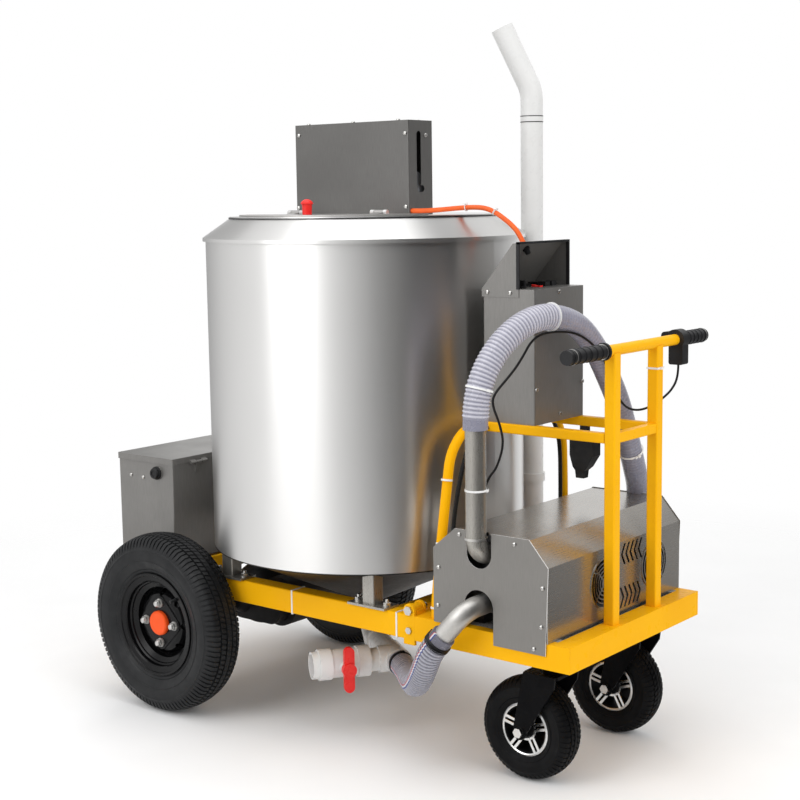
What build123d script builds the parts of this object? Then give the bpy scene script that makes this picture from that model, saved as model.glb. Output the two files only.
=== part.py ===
from build123d import *
import os
from math import atan2, cos, degrees, pi, radians, sin, tan

# Self-propelled liquid feed cart: a stirred stainless tank on a chassis, with a pump platform behind it.
# Frame: +X points to the operator's handle, -Y is the operator's left, +Z is up, the floor is z = 0,
# and the origin is the bottom centre of the whole cart.

# Driving dimensions, millimetres
tank_x = -67.0
tank_r = 439.0
tank_bottom = 484.0
tank_shoulder = 1330.0
tank_top_z = 1395.0
tank_top_r = 370.0
lip_r = 447.0
sheet = 3.0

wheel_r = 255.0
wheel_half_w = 61.0
wheel_y = 397.5
bolt_plate = 122.0
axle_x = tank_x - 427.0

caster_r = 131.0
caster_half_w = 43.0
caster_y = 205.0
caster_x = 625.0
kingpin_x = 695.0

rail_w = 50.0
rail_h = 64.0
rail_top = 391.0
rail_y = 292.0
rail_x0 = -807.0
rail_x1 = 309.0
tube_wall = 3.0
platform_x0 = 344.0
platform_x1 = 807.0
pin_x = 326.5
pin_z = 403.0
lock_z = 351.0

post_w = 30.0
post_x = 779.0
post_ys = (-82.0, 126.0)
bar_z = 1070.0
bar_r = 14.0
bar_y0 = -287.0
bar_y1 = 374.0
shelf_top = 867.0
shelf_w = 25.0
shelf_x0 = 381.0
stay_x = 396.0
stay_r = 13.0

box_x0 = 400.0
box_x1 = 558.0
box_y0 = -88.0
box_y1 = 141.0
box_top = 1209.0

cover_x0 = 413.0
cover_x1 = 748.0
cover_y = 320.0
cover_top = 635.0
fan_r = 60.0
fan_ys = (-66.0, 182.0)
fan_z = 487.0

port_x = 550.0
inlet_z = 454.0
outlet_z = 578.0
riser_y = -332.0
riser_top = 889.0
pipe_r = 25.5
pump_face_y = -252.0
rotor_z = 516.0
rotor_gap = 70.0

hose_r = 33.0
hose_bore = 25.6
pvc_r = 31.5
pvc_bore = 28.5
outlet_axis_z = 200.0
stand_x = 238.0
stand_y = 378.0
stand_foot_z = 408.0
swivel_z = 1650.0

battery_x0 = -798.0
battery_x1 = -566.0
battery_y = 290.0
battery_top = 690.0

cover_box_x0 = -274.0
cover_box_x1 = 133.0
cover_box_y0 = -50.0
cover_box_y1 = 54.0
cover_box_top = 1645.0
lead_y = -38.0
lead_z = 1405.5
hatch_hinge_y = -115.0
hatch_hinge_z = 1404.0

rail_z = rail_top - rail_h / 2
rail_bottom = rail_top - rail_h
tank_axis = Axis((tank_x, 0, 0), (0, 0, 1))

os.makedirs("parts", exist_ok=True)


def finish(piece, name):
    """Labels a finished piece and writes it as its own STEP file."""
    piece.part.label = name
    export_step(piece.part, f"parts/{name}.step")


def xz(y):
    """Plane at a given y, drawn in x and z; it extrudes towards -Y."""
    return Plane.XZ.offset(-y)


def yz(x):
    """Plane at a given x, drawn in y and z; it extrudes towards +X."""
    return Plane.YZ.offset(x)


def xy(z):
    """Plane at a given height; it extrudes upwards."""
    return Plane.XY.offset(z)


def polygon(*points):
    """Adds a closed straight-sided face to the open sketch."""
    Polygon(*points, align=None)


def hollow_bar(plane, at, width, height, length, wall=tube_wall, corner=4.0):
    """Adds a rectangular steel tube, drawn on a plane and run along its normal."""
    with BuildSketch(plane) as profile:
        with Locations(at):
            if corner:
                RectangleRounded(width, height, corner)
            else:
                Rectangle(width, height)
            Rectangle(width - 2 * wall, height - 2 * wall, mode=Mode.SUBTRACT)
    extrude(profile.sketch, amount=length)


def disc(plane, radius, length, at=(0, 0), mode=Mode.ADD):
    """Adds or cuts a round bar, drawn on a plane and run along its normal."""
    with BuildSketch(plane) as profile:
        with Locations(at):
            Circle(radius)
    extrude(profile.sketch, amount=length, mode=mode)


def bend_radii(points):
    """Largest arc that each corner of a route has room for, from its two runs."""
    radii = []
    for before, corner, after in zip(points, points[1:], points[2:]):
        arriving = Vector(*corner) - Vector(*before)
        leaving = Vector(*after) - Vector(*corner)
        turn = radians(arriving.get_angle(leaving))
        radii.append(0.45 * min(arriving.length, leaving.length) / tan(turn / 2))
    return radii


def round_pipe(points, radii, outer, inner):
    """Adds a round pipe along straight runs joined by tangent arcs."""
    with BuildLine(mode=Mode.PRIVATE) as path:
        if len(points) > 2:
            FilletPolyline(*points, radius=radii)
        else:
            Line(*points)
    route = path.wires()[0]
    with BuildSketch(Plane(origin=route @ 0, z_dir=route % 0)) as profile:
        Circle(outer)
        if inner:
            Circle(inner, mode=Mode.SUBTRACT)
    sweep(profile.sketch, path=route)
    return route


# Chassis rails with the coupling ears at their rear ends
def chassis_rail(side, name):
    with BuildPart() as rail:
        hollow_bar(yz(rail_x0), (side * rail_y, rail_z), rail_w, rail_h, rail_x1 - rail_x0)
        for ear_y in (rail_y - 17.0, rail_y + 25.0):
            face_y = ear_y if side > 0 else 8.0 - ear_y
            with BuildSketch(xz(face_y)):
                with Locations((pin_x, (pin_z + 314.0) / 2)):
                    Rectangle(35.0, pin_z - 314.0)
                with Locations((pin_x, pin_z)):
                    Circle(17.5)
                    Circle(8.1, mode=Mode.SUBTRACT)
                with Locations((pin_x, lock_z)):
                    Circle(6.1, mode=Mode.SUBTRACT)
            extrude(amount=8.0)
    finish(rail, name)


chassis_rail(-1, "left_rail")
chassis_rail(1, "right_rail")

with BuildPart() as cross_members:
    for x in (-757.0, -585.0, 253.0):
        hollow_bar(xz(rail_y - rail_w / 2), (x, rail_z), 50.0, 50.0, 2 * rail_y - rail_w)
finish(cross_members, "cross_members")

with BuildPart() as coupling_pins:
    for side in (-1, 1):
        head_y = side * (rail_y + 25.0)
        for height, radius in ((pin_z, 8.0), (lock_z, 6.0)):
            outward = Plane((pin_x, head_y, height), x_dir=(1, 0, 0), z_dir=(0, side, 0))
            disc(outward, radius, -62.0)
            with BuildSketch(outward):
                RegularPolygon(radius * 1.55, 6)
            extrude(amount=radius * 0.8)
            disc(outward.offset(-62.0), radius * 1.5, 4.0, mode=Mode.ADD)
finish(coupling_pins, "coupling_pins")

# Pump platform: frame tubes, deck, coupling tongues and caster plates
with BuildPart() as platform_frame:
    side_len = platform_x1 - rail_w - platform_x0
    for side in (-1, 1):
        hollow_bar(yz(platform_x0), (side * rail_y, rail_z), rail_w, rail_h, side_len, corner=0)
        with BuildSketch(yz(platform_x0)):
            with Locations((side * rail_y, rail_z)):
                Rectangle(rail_w, rail_h)
        extrude(amount=6.0)
        with BuildSketch(xz(side * rail_y + 15.0)):
            with Locations(((pin_x + platform_x0) / 2 - 4.0, (pin_z + 330.0) / 2)):
                Rectangle(platform_x0 - pin_x + 8.0, pin_z - 330.0)
            with Locations((pin_x, pin_z)):
                Circle(14.0)
            with Locations((pin_x, pin_z)):
                Circle(8.1, mode=Mode.SUBTRACT)
            with Locations((pin_x, lock_z)):
                Circle(6.1, mode=Mode.SUBTRACT)
        extrude(amount=30.0)
    width = 2 * rail_y - rail_w
    end_at = (platform_x1 - rail_w / 2, rail_z)
    hollow_bar(xz(rail_y + rail_w / 2), end_at, rail_w, rail_h, width + 2 * rail_w, corner=0)
    for plug_y in (rail_y + rail_w / 2, 4.0 - rail_y - rail_w / 2):
        with BuildSketch(xz(plug_y)):
            with Locations(end_at):
                Rectangle(rail_w, rail_h)
        extrude(amount=4.0)
    hollow_bar(xz(width / 2), (platform_x0 + rail_w / 2, rail_z), rail_w, rail_h, width, corner=0)
    hollow_bar(xz(width / 2), (kingpin_x, rail_z - 6.0), rail_w, rail_h - 12.0, width, corner=0)
    with BuildSketch(xy(rail_top - 12.0)):
        with Locations(((platform_x0 + platform_x1) / 2, 0)):
            Rectangle(side_len - rail_w, width)
    extrude(amount=sheet)
    for side in (-1, 1):
        with BuildSketch(xy(rail_bottom - 8.0)):
            with Locations((kingpin_x, side * caster_y)):
                RectangleRounded(110.0, 95.0, 8.0)
        extrude(amount=8.0)
        disc(xy(rail_bottom - 55.0), 10.0, 50.0, at=(kingpin_x, side * caster_y))
        disc(xy(rail_bottom - 59.0), 16.0, 9.0, at=(kingpin_x, side * caster_y))
finish(platform_frame, "platform_frame")

# Drive axle: housing with differential, spring perches and the drive motor
with BuildPart() as drive_axle:
    housing_half = wheel_y - 47.0
    with BuildSketch(Plane((axle_x, 0, wheel_r), x_dir=(0, 1, 0), z_dir=(1, 0, 0))):
        with BuildLine():
            Polyline((-housing_half, 0), (-housing_half, 82), (5 - housing_half, 82),
                     (5 - housing_half, 34), (-130, 30), (-75, 55))
            ThreePointArc((-75, 55), (0, 96), (75, 55))
            Polyline((75, 55), (130, 30), (housing_half - 5, 34), (housing_half - 5, 82), (housing_half, 82),
                     (housing_half, 0), (-housing_half, 0))
        make_face()
    revolve(axis=Axis((axle_x, 0, wheel_r), (0, 1, 0)))
    for side in (-1, 1):
        with BuildSketch(xz(side * rail_y + 22.0)):
            with Locations((axle_x, (wheel_r + rail_bottom) / 2)):
                Rectangle(70.0, rail_bottom - wheel_r)
        extrude(amount=44.0)
        outer_end = Plane((axle_x, side * housing_half, wheel_r), x_dir=(1, 0, 0), z_dir=(0, side, 0))
        disc(outer_end, 17.05, -50.0, mode=Mode.SUBTRACT)
        disc(outer_end.offset(-50.0), 20.0, -120.0, mode=Mode.SUBTRACT)
    disc(xz(150.0), 74.0, 210.0, at=(axle_x + 118.0, wheel_r))
    with BuildSketch(xz(-60.0)):
        with Locations((axle_x + 60.0, wheel_r)):
            RectangleRounded(200.0, 120.0, 40.0)
    extrude(amount=40.0)
finish(drive_axle, "drive_axle")


# Road wheels: tyre, pressed rim and driven hub with its dust cap
def road_wheel(side, name):
    centre = (axle_x, side * wheel_y, wheel_r)
    section = Plane(centre, x_dir=(0, 0, 1), z_dir=(-side, 0, 0))
    spin = Axis(centre, (0, 1, 0))
    face = Plane(centre, x_dir=(1, 0, 0), z_dir=(0, side, 0))

    with BuildPart() as tyre:
        with BuildSketch(section):
            with BuildLine():
                Line((128.4, -40.5), (147, -43.2))
                Spline((147, -43.2), (154, -48), (172, -58), (200, -wheel_half_w), (232, -55), (246, -46))
                ThreePointArc((246, -46), (wheel_r, 0), (246, 46))
                Spline((246, 46), (232, 55), (200, wheel_half_w), (172, 58), (154, 48), (147, 43.2))
                Polyline((147, 43.2), (128.4, 40.5), (128.4, 31))
                Spline((128.4, 31), (165, 45), (200, 49), (226, 43), (238, 34))
                ThreePointArc((238, 34), (243, 0), (238, -34))
                Spline((238, -34), (226, -43), (200, -49), (165, -45), (128.4, -31))
                Line((128.4, -31), (128.4, -40.5))
            make_face()
        revolve(axis=spin)
        for groove in (-29.0, -10.0, 10.0, 29.0):
            with BuildSketch(section):
                with Locations((wheel_r, groove)):
                    Rectangle(14.0, 4.5)
            revolve(axis=spin, mode=Mode.SUBTRACT)
        with Locations(face):
            for shoulder in (-43.0, 43.0):
                with Locations((0, 0, shoulder)):
                    with PolarLocations(wheel_r - 4.0, 36):
                        Box(14.0, 5.0, 18.0, mode=Mode.SUBTRACT)
    finish(tyre, f"{name}_tyre")

    with BuildPart() as rim:
        with BuildSketch(section):
            polygon((147, 49), (147, 43.7), (128, 41), (126, 26), (106, 14), (106, -14), (126, -26),
                    (128, -41), (147, -43.7), (147, -49), (143, -49), (124, -45), (122, -28), (102, -15),
                    (102, 15), (115.5, 22.6), (117, 27), (121, 30), (122.5, 40), (126, 43.4), (138.5, 45.6),
                    (140, 48.2), (143.5, 49))
            polygon((103, -8), (103, -4), (94, 0), (82, 16), (70, 20.5), (28.5, 20.5), (28.5, 16.5),
                    (68, 16.5), (79, 12), (91, -4), (98, -8))
        revolve(axis=spin)
        with BuildSketch(face.offset(16.6)):
            RectangleRounded(bolt_plate, bolt_plate, 22.0, rotation=45)
        extrude(amount=6.9)
        disc(face.offset(20.5), 35.3, 10.0, mode=Mode.SUBTRACT)
        disc(face.offset(10.0), 28.5, 20.0, mode=Mode.SUBTRACT)
        with Locations(face.offset(-10.0)):
            with PolarLocations(86.5, 8):
                Cylinder(9.0, 60.0, mode=Mode.SUBTRACT)
            with PolarLocations(57.5, 4):
                Cylinder(6.5, 80.0, mode=Mode.SUBTRACT)
    finish(rim, f"{name}_rim")

    with BuildPart() as hub:
        with BuildSketch(section):
            polygon((0, -200), (17, -200), (17, -46), (24, -40), (24, -6), (74, -6), (74, -40), (80, -40),
                    (80, 2), (66, 12), (66, 16.5), (28, 16.5), (28, 24), (0, 24))
            with BuildLine():
                Polyline((0, 36), (28, 36))
                ThreePointArc((28, 36), (33, 34), (35, 29))
                Polyline((35, 29), (35, 20.5), (29, 20.5), (29, 28), (0, 28), (0, 36))
            make_face()
        revolve(axis=spin)
    finish(hub, f"{name}_hub")


road_wheel(-1, "left")
road_wheel(1, "right")


# Swivel casters: fork with its axle bolt, tyre and five double-spoke rim
def swivel_caster(side, name):
    y = side * caster_y
    centre = (caster_x, y, caster_r)
    section = Plane(centre, x_dir=(0, 0, 1), z_dir=(1, 0, 0))
    spin = Axis(centre, (0, 1, 0))
    face = Plane(centre, x_dir=(1, 0, 0), z_dir=(0, -1, 0))
    crown_z = rail_bottom - 47.0

    with BuildPart() as fork:
        with BuildSketch(xy(crown_z)):
            with Locations((kingpin_x - 12.0, y)):
                RectangleRounded(96.0, 2 * 56.0, 12.0)
        extrude(amount=8.0)
        disc(xy(crown_z), 31.0, 38.5, at=(kingpin_x, y))
        for leg in (-1, 1):
            with BuildSketch(xz(y + leg * 53.0 + 3.0)):
                with BuildLine():
                    Polyline((caster_x - 20.0, caster_r), (kingpin_x - 58.0, crown_z + 8.0),
                             (kingpin_x + 34.0, crown_z + 8.0), (kingpin_x + 30.0, crown_z - 22.0),
                             (caster_x + 20.0, caster_r))
                    ThreePointArc((caster_x + 20.0, caster_r), (caster_x, caster_r - 20.0),
                                  (caster_x - 20.0, caster_r))
                make_face()
            extrude(amount=6.0)
        disc(xy(crown_z - 5.0), 10.05, 60.0, at=(kingpin_x, y), mode=Mode.SUBTRACT)
        disc(face.offset(-62.0), 7.5, 124.0)
        for end in (-1, 1):
            with BuildSketch(face.offset(end * 61.0 - 5.0)):
                RegularPolygon(13.0, 6)
            extrude(amount=10.0)
    finish(fork, f"{name}_caster_fork")

    with BuildPart() as tyre:
        with BuildSketch(section):
            with BuildLine():
                Spline((68.5, -32), (85, -41), (100, -caster_half_w), (116, -38), (124, -29))
                ThreePointArc((124, -29), (caster_r, 0), (124, 29))
                Spline((124, 29), (116, 38), (100, caster_half_w), (85, 41), (68.5, 32))
                Line((68.5, 32), (68.5, -32))
            make_face()
        revolve(axis=spin)
        for groove in (-15.0, 0.0, 15.0):
            with BuildSketch(section):
                with Locations((caster_r, groove)):
                    Rectangle(8.0, 3.5)
            revolve(axis=spin, mode=Mode.SUBTRACT)
        with Locations(face):
            for shoulder in (-31.0, 31.0):
                with Locations((0, 0, shoulder)):
                    with PolarLocations(caster_r - 4.0, 30):
                        Box(10.0, 4.0, 14.0, mode=Mode.SUBTRACT)
    finish(tyre, f"{name}_caster_tyre")

    with BuildPart() as rim:
        with BuildSketch(section):
            polygon((68, -32), (68, 32), (64, 34), (57, 30), (57, -30), (64, -34))
            polygon((7.55, -40), (20, -40), (23, -26), (23, 26), (20, 40), (7.55, 40))
        revolve(axis=spin)
        with Locations(face):
            for spoke in range(5):
                for offset_angle in (-12.0, 12.0):
                    with PolarLocations(40.0, 1, start_angle=90.0 + 72.0 * spoke + offset_angle):
                        Box(40.0, 7.0, 34.0)
    finish(rim, f"{name}_caster_rim")


swivel_caster(-1, "left")
swivel_caster(1, "right")

# Tank: rolled shell, conical shoulder with flat top, bottom cone and legs
with BuildPart() as tank_shell:
    with BuildSketch(Plane((tank_x, 0, 0), x_dir=(1, 0, 0), z_dir=(0, -1, 0))):
        polygon((tank_r, tank_bottom), (tank_r, tank_shoulder), (tank_r - sheet, tank_shoulder),
                (tank_r - sheet, tank_bottom))
    revolve(axis=tank_axis)
finish(tank_shell, "tank_shell")

tank_section = Plane((tank_x, 0, 0), x_dir=(1, 0, 0), z_dir=(0, -1, 0))
with BuildPart() as tank_top:
    with BuildSketch(tank_section):
        polygon((430, tank_shoulder), (lip_r, tank_shoulder), (lip_r, tank_shoulder + 9),
                (tank_top_r, tank_top_z - 3), (tank_top_r + 2, tank_top_z - 3), (tank_top_r + 2, tank_top_z),
                (22, tank_top_z), (22, tank_top_z - 3), (tank_top_r - 5, tank_top_z - 3),
                (lip_r - 4, tank_shoulder + 7), (lip_r - 4, tank_shoulder + 3), (430, tank_shoulder + 3))
    revolve(axis=tank_axis)
    with BuildSketch(xy(tank_top_z - 10.0)):
        with Locations((tank_x, 0)):
            Circle(322.0)
        with Locations((tank_x, 200.0 + hatch_hinge_y - 26.0)):
            Rectangle(700.0, 400.0, mode=Mode.SUBTRACT)
        with Locations((tank_x, 500.0 + hatch_hinge_y - 26.0)):
            Rectangle(700.0, 400.0, mode=Mode.SUBTRACT)
    extrude(amount=20.0, mode=Mode.SUBTRACT)
    for hinge_x in (tank_x - 150.0, tank_x + 150.0):
        for lug in (-22.0, 22.0):
            with BuildSketch(yz(hinge_x + lug - 6.0)):
                with Locations((hatch_hinge_y, hatch_hinge_z)):
                    Circle(6.0)
                with Locations((hatch_hinge_y, (hatch_hinge_z + tank_top_z) / 2)):
                    Rectangle(12.0, hatch_hinge_z - tank_top_z)
            extrude(amount=12.0)
        disc(yz(hinge_x - 22.0), 3.0, 44.0, at=(hatch_hinge_y, hatch_hinge_z))
finish(tank_top, "tank_top")

cone_top = tank_bottom - sheet
cone_low = 300.0
with BuildPart() as tank_cone:
    with BuildSketch(tank_section):
        polygon((tank_r, tank_bottom), (425, tank_bottom), (pvc_bore, cone_low + 3), (pvc_bore, 265),
                (pvc_r, 265), (pvc_r, cone_low), (425, cone_top), (tank_r, cone_top))
    revolve(axis=tank_axis)
finish(tank_cone, "tank_cone")

with BuildPart() as tank_legs:
    for leg_x in (tank_x - 258.0, tank_x + 258.0):
        for leg_y in (-rail_y - 5.0, rail_y + 5.0):
            with BuildSketch(xy(rail_top)):
                with Locations((leg_x, leg_y)):
                    Rectangle(125.0, 60.0)
                    with Locations((-48.0, 0), (48.0, 0)):
                        Circle(6.6, mode=Mode.SUBTRACT)
            extrude(amount=6.0)
            hollow_bar(xy(rail_top + 6.0), (leg_x, leg_y), 40.0, 40.0, 90.0)
    with BuildSketch(tank_section):
        polygon((0, cone_low - 1), (pvc_r, cone_low - 1), (425.5, cone_top - 0.5), (560, cone_top - 0.5),
                (560, 560), (0, 560))
    revolve(axis=tank_axis, mode=Mode.SUBTRACT)
finish(tank_legs, "tank_legs")

# Stirrer: sheet cover, gear motor and the paddle shaft in the tank
with BuildPart() as motor_cover:
    mid_x = (cover_box_x0 + cover_box_x1) / 2
    mid_y = (cover_box_y0 + cover_box_y1) / 2
    with BuildSketch(xy(tank_top_z)):
        with Locations((mid_x, mid_y)):
            RectangleRounded(cover_box_x1 - cover_box_x0, cover_box_y1 - cover_box_y0, 3.0)
    extrude(amount=cover_box_top - tank_top_z)
    with BuildSketch(xy(tank_top_z - 1.0)):
        with Locations((mid_x, mid_y)):
            Rectangle(cover_box_x1 - cover_box_x0 - 4.0, cover_box_y1 - cover_box_y0 - 4.0)
    extrude(amount=cover_box_top - tank_top_z - 1.0, mode=Mode.SUBTRACT)
    with BuildSketch(yz(cover_box_x1 - 10.0)):
        with Locations((-6.0, 1543.0)):
            SlotOverall(148.0, 19.0, rotation=90)
        with Locations((2.0, 1464.0)):
            SlotOverall(30.0, 18.0)
        with Locations((lead_y, lead_z)):
            Circle(7.5)
    extrude(amount=20.0, mode=Mode.SUBTRACT)
finish(motor_cover, "motor_cover")

with BuildPart() as agitator_gearmotor:
    with BuildSketch(xy(tank_top_z)):
        with Locations((tank_x, 0)):
            RectangleRounded(130.0, 92.0, 10.0)
    extrude(amount=9.0)
    with BuildSketch(xy(tank_top_z + 9.0)):
        with Locations((tank_x, 0)):
            RectangleRounded(104.0, 84.0, 12.0)
    extrude(amount=120.0)
    motor_axis_z = tank_top_z + 80.0
    disc(yz(tank_x + 52.0), 46.0, 10.0, at=(0, motor_axis_z))
    disc(yz(tank_x + 62.0), 41.0, 105.0, at=(0, motor_axis_z))
    disc(yz(tank_x + 167.0), 36.0, 16.0, at=(0, motor_axis_z))
    disc(xy(tank_top_z - 1.0), 15.05, 62.0, at=(tank_x, 0), mode=Mode.SUBTRACT)
finish(agitator_gearmotor, "agitator_gearmotor")

with BuildPart() as agitator:
    disc(xy(330.0), 15.0, tank_top_z + 55.0 - 330.0, at=(tank_x, 0))
    for height, turn in ((620.0, 0.0), (900.0, 90.0)):
        arm = Plane((tank_x, 0, height), x_dir=(cos(radians(turn)), sin(radians(turn)), 0), z_dir=(0, 0, 1))
        with Locations(arm):
            for end in (-1, 1):
                with Locations(Location((end * 185.0, 0, 0), (end * 45.0, 0, 0))):
                    Box(350.0, 8.0, 90.0)
    slope = atan2(cone_top - cone_low, 425.0 - pvc_r)
    for end in (-1, 1):
        scraper = Plane((tank_x, 0, 357.0), x_dir=(end * cos(slope), 0, sin(slope)), z_dir=(0, -end, 0))
        with BuildSketch(scraper.offset(-5.0)):
            with Locations((170.0, 0)):
                Rectangle(340.0, 50.0)
        extrude(amount=10.0)
finish(agitator, "agitator")

# Filling hatch: half-moon lid on two hinges, lifted by a red knob
with BuildPart() as hatch_lid:
    lid_edge = hatch_hinge_y - 9.0
    with BuildSketch(xy(tank_top_z + 0.5)):
        with Locations((tank_x, 0)):
            Circle(345.0)
        with Locations((tank_x, 400.0 + lid_edge)):
            Rectangle(800.0, 800.0, mode=Mode.SUBTRACT)
    extrude(amount=4.0)
    for hinge_x in (tank_x - 150.0, tank_x + 150.0):
        with BuildSketch(yz(hinge_x - 15.0)):
            with Locations((hatch_hinge_y, hatch_hinge_z)):
                Circle(6.0)
            polygon((hatch_hinge_y, hatch_hinge_z - 6.0), (hatch_hinge_y, hatch_hinge_z),
                    (lid_edge - 18.0, tank_top_z + 4.5), (lid_edge - 18.0, tank_top_z + 3.5),
                    (lid_edge + 2.0, tank_top_z + 3.5))
        extrude(amount=30.0)
        disc(yz(hinge_x - 20.0), 3.06, 40.0, at=(hatch_hinge_y, hatch_hinge_z), mode=Mode.SUBTRACT)
finish(hatch_lid, "hatch_lid")

with BuildPart() as hatch_knob:
    with BuildSketch(Plane((tank_x, -234.0, tank_top_z + 4.5), x_dir=(1, 0, 0), z_dir=(0, -1, 0))):
        with BuildLine():
            crown = CenterArc((0, 22.7), 18.3, 22.0, 58.0)
            Polyline(crown @ 1, (0, (crown @ 1).Y), (0, 0), (12.5, 0), (13.5, 25.0), crown @ 0)
        make_face()
    revolve(axis=Axis((tank_x, -234.0, 0), (0, 0, 1)))
finish(hatch_knob, "hatch_knob")

# Battery box with hinged lid and its row of batteries
with BuildPart() as battery_box:
    box_mid = (battery_x0 + battery_x1) / 2
    box_len = battery_x1 - battery_x0
    with BuildSketch(xy(rail_top)):
        with Locations((box_mid, 0)):
            RectangleRounded(box_len, 2 * battery_y, 3.0)
    extrude(amount=battery_top - rail_top)
    with BuildSketch(xy(rail_top + 2.0)):
        with Locations((box_mid, 0)):
            Rectangle(box_len - 4.0, 2 * battery_y - 4.0)
    extrude(amount=battery_top - rail_top, mode=Mode.SUBTRACT)
    disc(xz(-battery_y + 5.0), 15.0, 10.0, at=(-630.0, 652.0), mode=Mode.SUBTRACT)
    disc(xz(-battery_y + 2.0), 13.0, 7.0, at=(-630.0, 652.0))
    disc(xz(-battery_y), 20.0, 3.0, at=(-630.0, 652.0))
    for hinge_y in (-193.0, 193.0):
        with BuildSketch(xz(hinge_y + 10.0)):
            with Locations((battery_x1 + 9.0, battery_top - 10.0)):
                Circle(5.0)
            polygon((battery_x1, battery_top - 40.0), (battery_x1 + 4.0, battery_top - 40.0),
                    (battery_x1 + 9.0, battery_top - 14.0), (battery_x1 + 9.0, battery_top - 10.0),
                    (battery_x1 + 4.0, battery_top - 10.0), (battery_x1, battery_top - 14.0))
        extrude(amount=20.0)
        disc(xz(hinge_y + 30.0), 2.5, 60.0, at=(battery_x1 + 9.0, battery_top - 10.0))
finish(battery_box, "battery_box")

with BuildPart() as battery_lid:
    with BuildSketch(xy(battery_top - 10.0)):
        with Locations((box_mid, 0)):
            RectangleRounded(box_len + 6.0, 2 * battery_y + 6.0, 4.0)
    extrude(amount=18.0)
    with BuildSketch(xy(battery_top - 11.0)):
        with Locations((box_mid, 0)):
            Rectangle(box_len + 2.0, 2 * battery_y + 2.0)
    extrude(amount=17.0, mode=Mode.SUBTRACT)
    for hinge_y in (-193.0, 193.0):
        for knuckle in (-22.0, 22.0):
            with BuildSketch(xz(hinge_y + knuckle + 10.0)):
                with Locations((battery_x1 + 9.0, battery_top - 10.0)):
                    Circle(5.0)
                polygon((battery_x1 + 3.0, battery_top - 10.0), (battery_x1 + 9.0, battery_top - 10.0),
                        (battery_x1 + 9.0, battery_top - 5.0), (battery_x1 + 3.0, battery_top - 2.0))
            extrude(amount=20.0)
            disc(xz(hinge_y + knuckle + 11.0), 2.56, 22.0, at=(battery_x1 + 9.0, battery_top - 10.0),
                 mode=Mode.SUBTRACT)
finish(battery_lid, "battery_lid")

with BuildPart() as batteries:
    for row in range(5):
        block_y = (row - 2) * 108.0
        with BuildSketch(xy(rail_top + 2.0)):
            with Locations((box_mid, block_y)):
                RectangleRounded(182.0, 92.0, 4.0)
        extrude(amount=165.0)
        for post in (-60.0, 60.0):
            disc(xy(rail_top + 167.0), 8.0, 12.0, at=(box_mid + post, block_y))
finish(batteries, "batteries")

# Handle: two posts, handlebar, fixed grip and twist throttle
with BuildPart() as handle_posts:
    for post_y in post_ys:
        hollow_bar(xy(rail_top), (post_x, post_y), post_w, post_w, bar_z - 6.0 - rail_top, wall=2.5)
    disc(xz(bar_y1), bar_r + 0.03, bar_y1 - bar_y0, at=(post_x, bar_z), mode=Mode.SUBTRACT)
finish(handle_posts, "handle_posts")

with BuildPart() as handlebar:
    with BuildSketch(xz(bar_y1)):
        with Locations((post_x, bar_z)):
            Circle(bar_r)
            Circle(bar_r - 2.0, mode=Mode.SUBTRACT)
    extrude(amount=bar_y1 - bar_y0)
finish(handlebar, "handlebar")

grip_section = Plane((post_x, 0, bar_z), x_dir=(0, 1, 0), z_dir=(1, 0, 0))
bar_axis = Axis((post_x, 0, bar_z), (0, 1, 0))


def ribbed_grip(start, end, bore, ribs):
    """Adds a rubber grip round the bar, with raised bands and a flange at its inner end."""
    with BuildSketch(grip_section) as profile:
        polygon((start, bore), (start, 17.5), (end, 17.5), (end, bore))
        flange = 7.0 if end > start else -7.0
        polygon((start, bore), (start, 22.0), (start + flange, 22.0), (start + flange, bore))
        for rib in range(ribs):
            at = start + (end - start) * (rib + 1.2) / (ribs + 0.8)
            polygon((at - 4, 15), (at - 4, 18), (at - 2.5, 19), (at + 2.5, 19), (at + 4, 18), (at + 4, 15))
    revolve(profile.sketch, axis=bar_axis)


with BuildPart() as left_grip:
    ribbed_grip(-122.0, bar_y0 - 3.0, bar_r + 0.03, 6)
    disc(xz(bar_y0 - 0.5), 17.5, 2.5, at=(post_x, bar_z))
finish(left_grip, "left_grip")

with BuildPart() as throttle_housing:
    with BuildSketch(xz(258.0)):
        with Locations((post_x, bar_z)):
            Circle(26.0)
        with Locations((post_x - 20.0, bar_z + 2.0)):
            RectangleRounded(40.0, 34.0, 10.0)
        with Locations((post_x + 2.0, bar_z - 36.0)):
            RectangleRounded(40.0, 58.0, 6.0)
        with Locations((post_x, bar_z)):
            Circle(bar_r + 0.03, mode=Mode.SUBTRACT)
    extrude(amount=32.0)
finish(throttle_housing, "throttle_housing")

with BuildPart() as throttle_grip:
    ribbed_grip(259.0, bar_y1 + 2.5, bar_r + 0.05, 5)
    disc(xz(bar_y1 + 3.0), 17.5, 2.2, at=(post_x, bar_z))
finish(throttle_grip, "throttle_grip")

# Control shelf and the bent stays that carry its front end
shelf_near = post_ys[0] - post_w / 2 + shelf_w / 2
shelf_far = post_ys[1] + post_w / 2 - shelf_w / 2
shelf_z = shelf_top - shelf_w / 2
with BuildPart() as shelf_frame:
    side_len = post_x - post_w / 2 - shelf_x0
    for tube_y in (shelf_near, shelf_far):
        hollow_bar(yz(shelf_x0), (tube_y, shelf_z), shelf_w, shelf_w, side_len, wall=2.0)
    inner_far = shelf_far - shelf_w / 2
    inner_len = inner_far - shelf_near - shelf_w / 2
    hollow_bar(xz(inner_far), (shelf_x0 + shelf_w / 2, shelf_z), shelf_w, shelf_w, inner_len, wall=2.0)
    post_near = post_ys[0] + post_w / 2
    post_far = post_ys[1] - post_w / 2
    hollow_bar(xz(post_far), (post_x, shelf_z), shelf_w, shelf_w, post_far - post_near, wall=2.0)
finish(shelf_frame, "shelf_frame")

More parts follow.
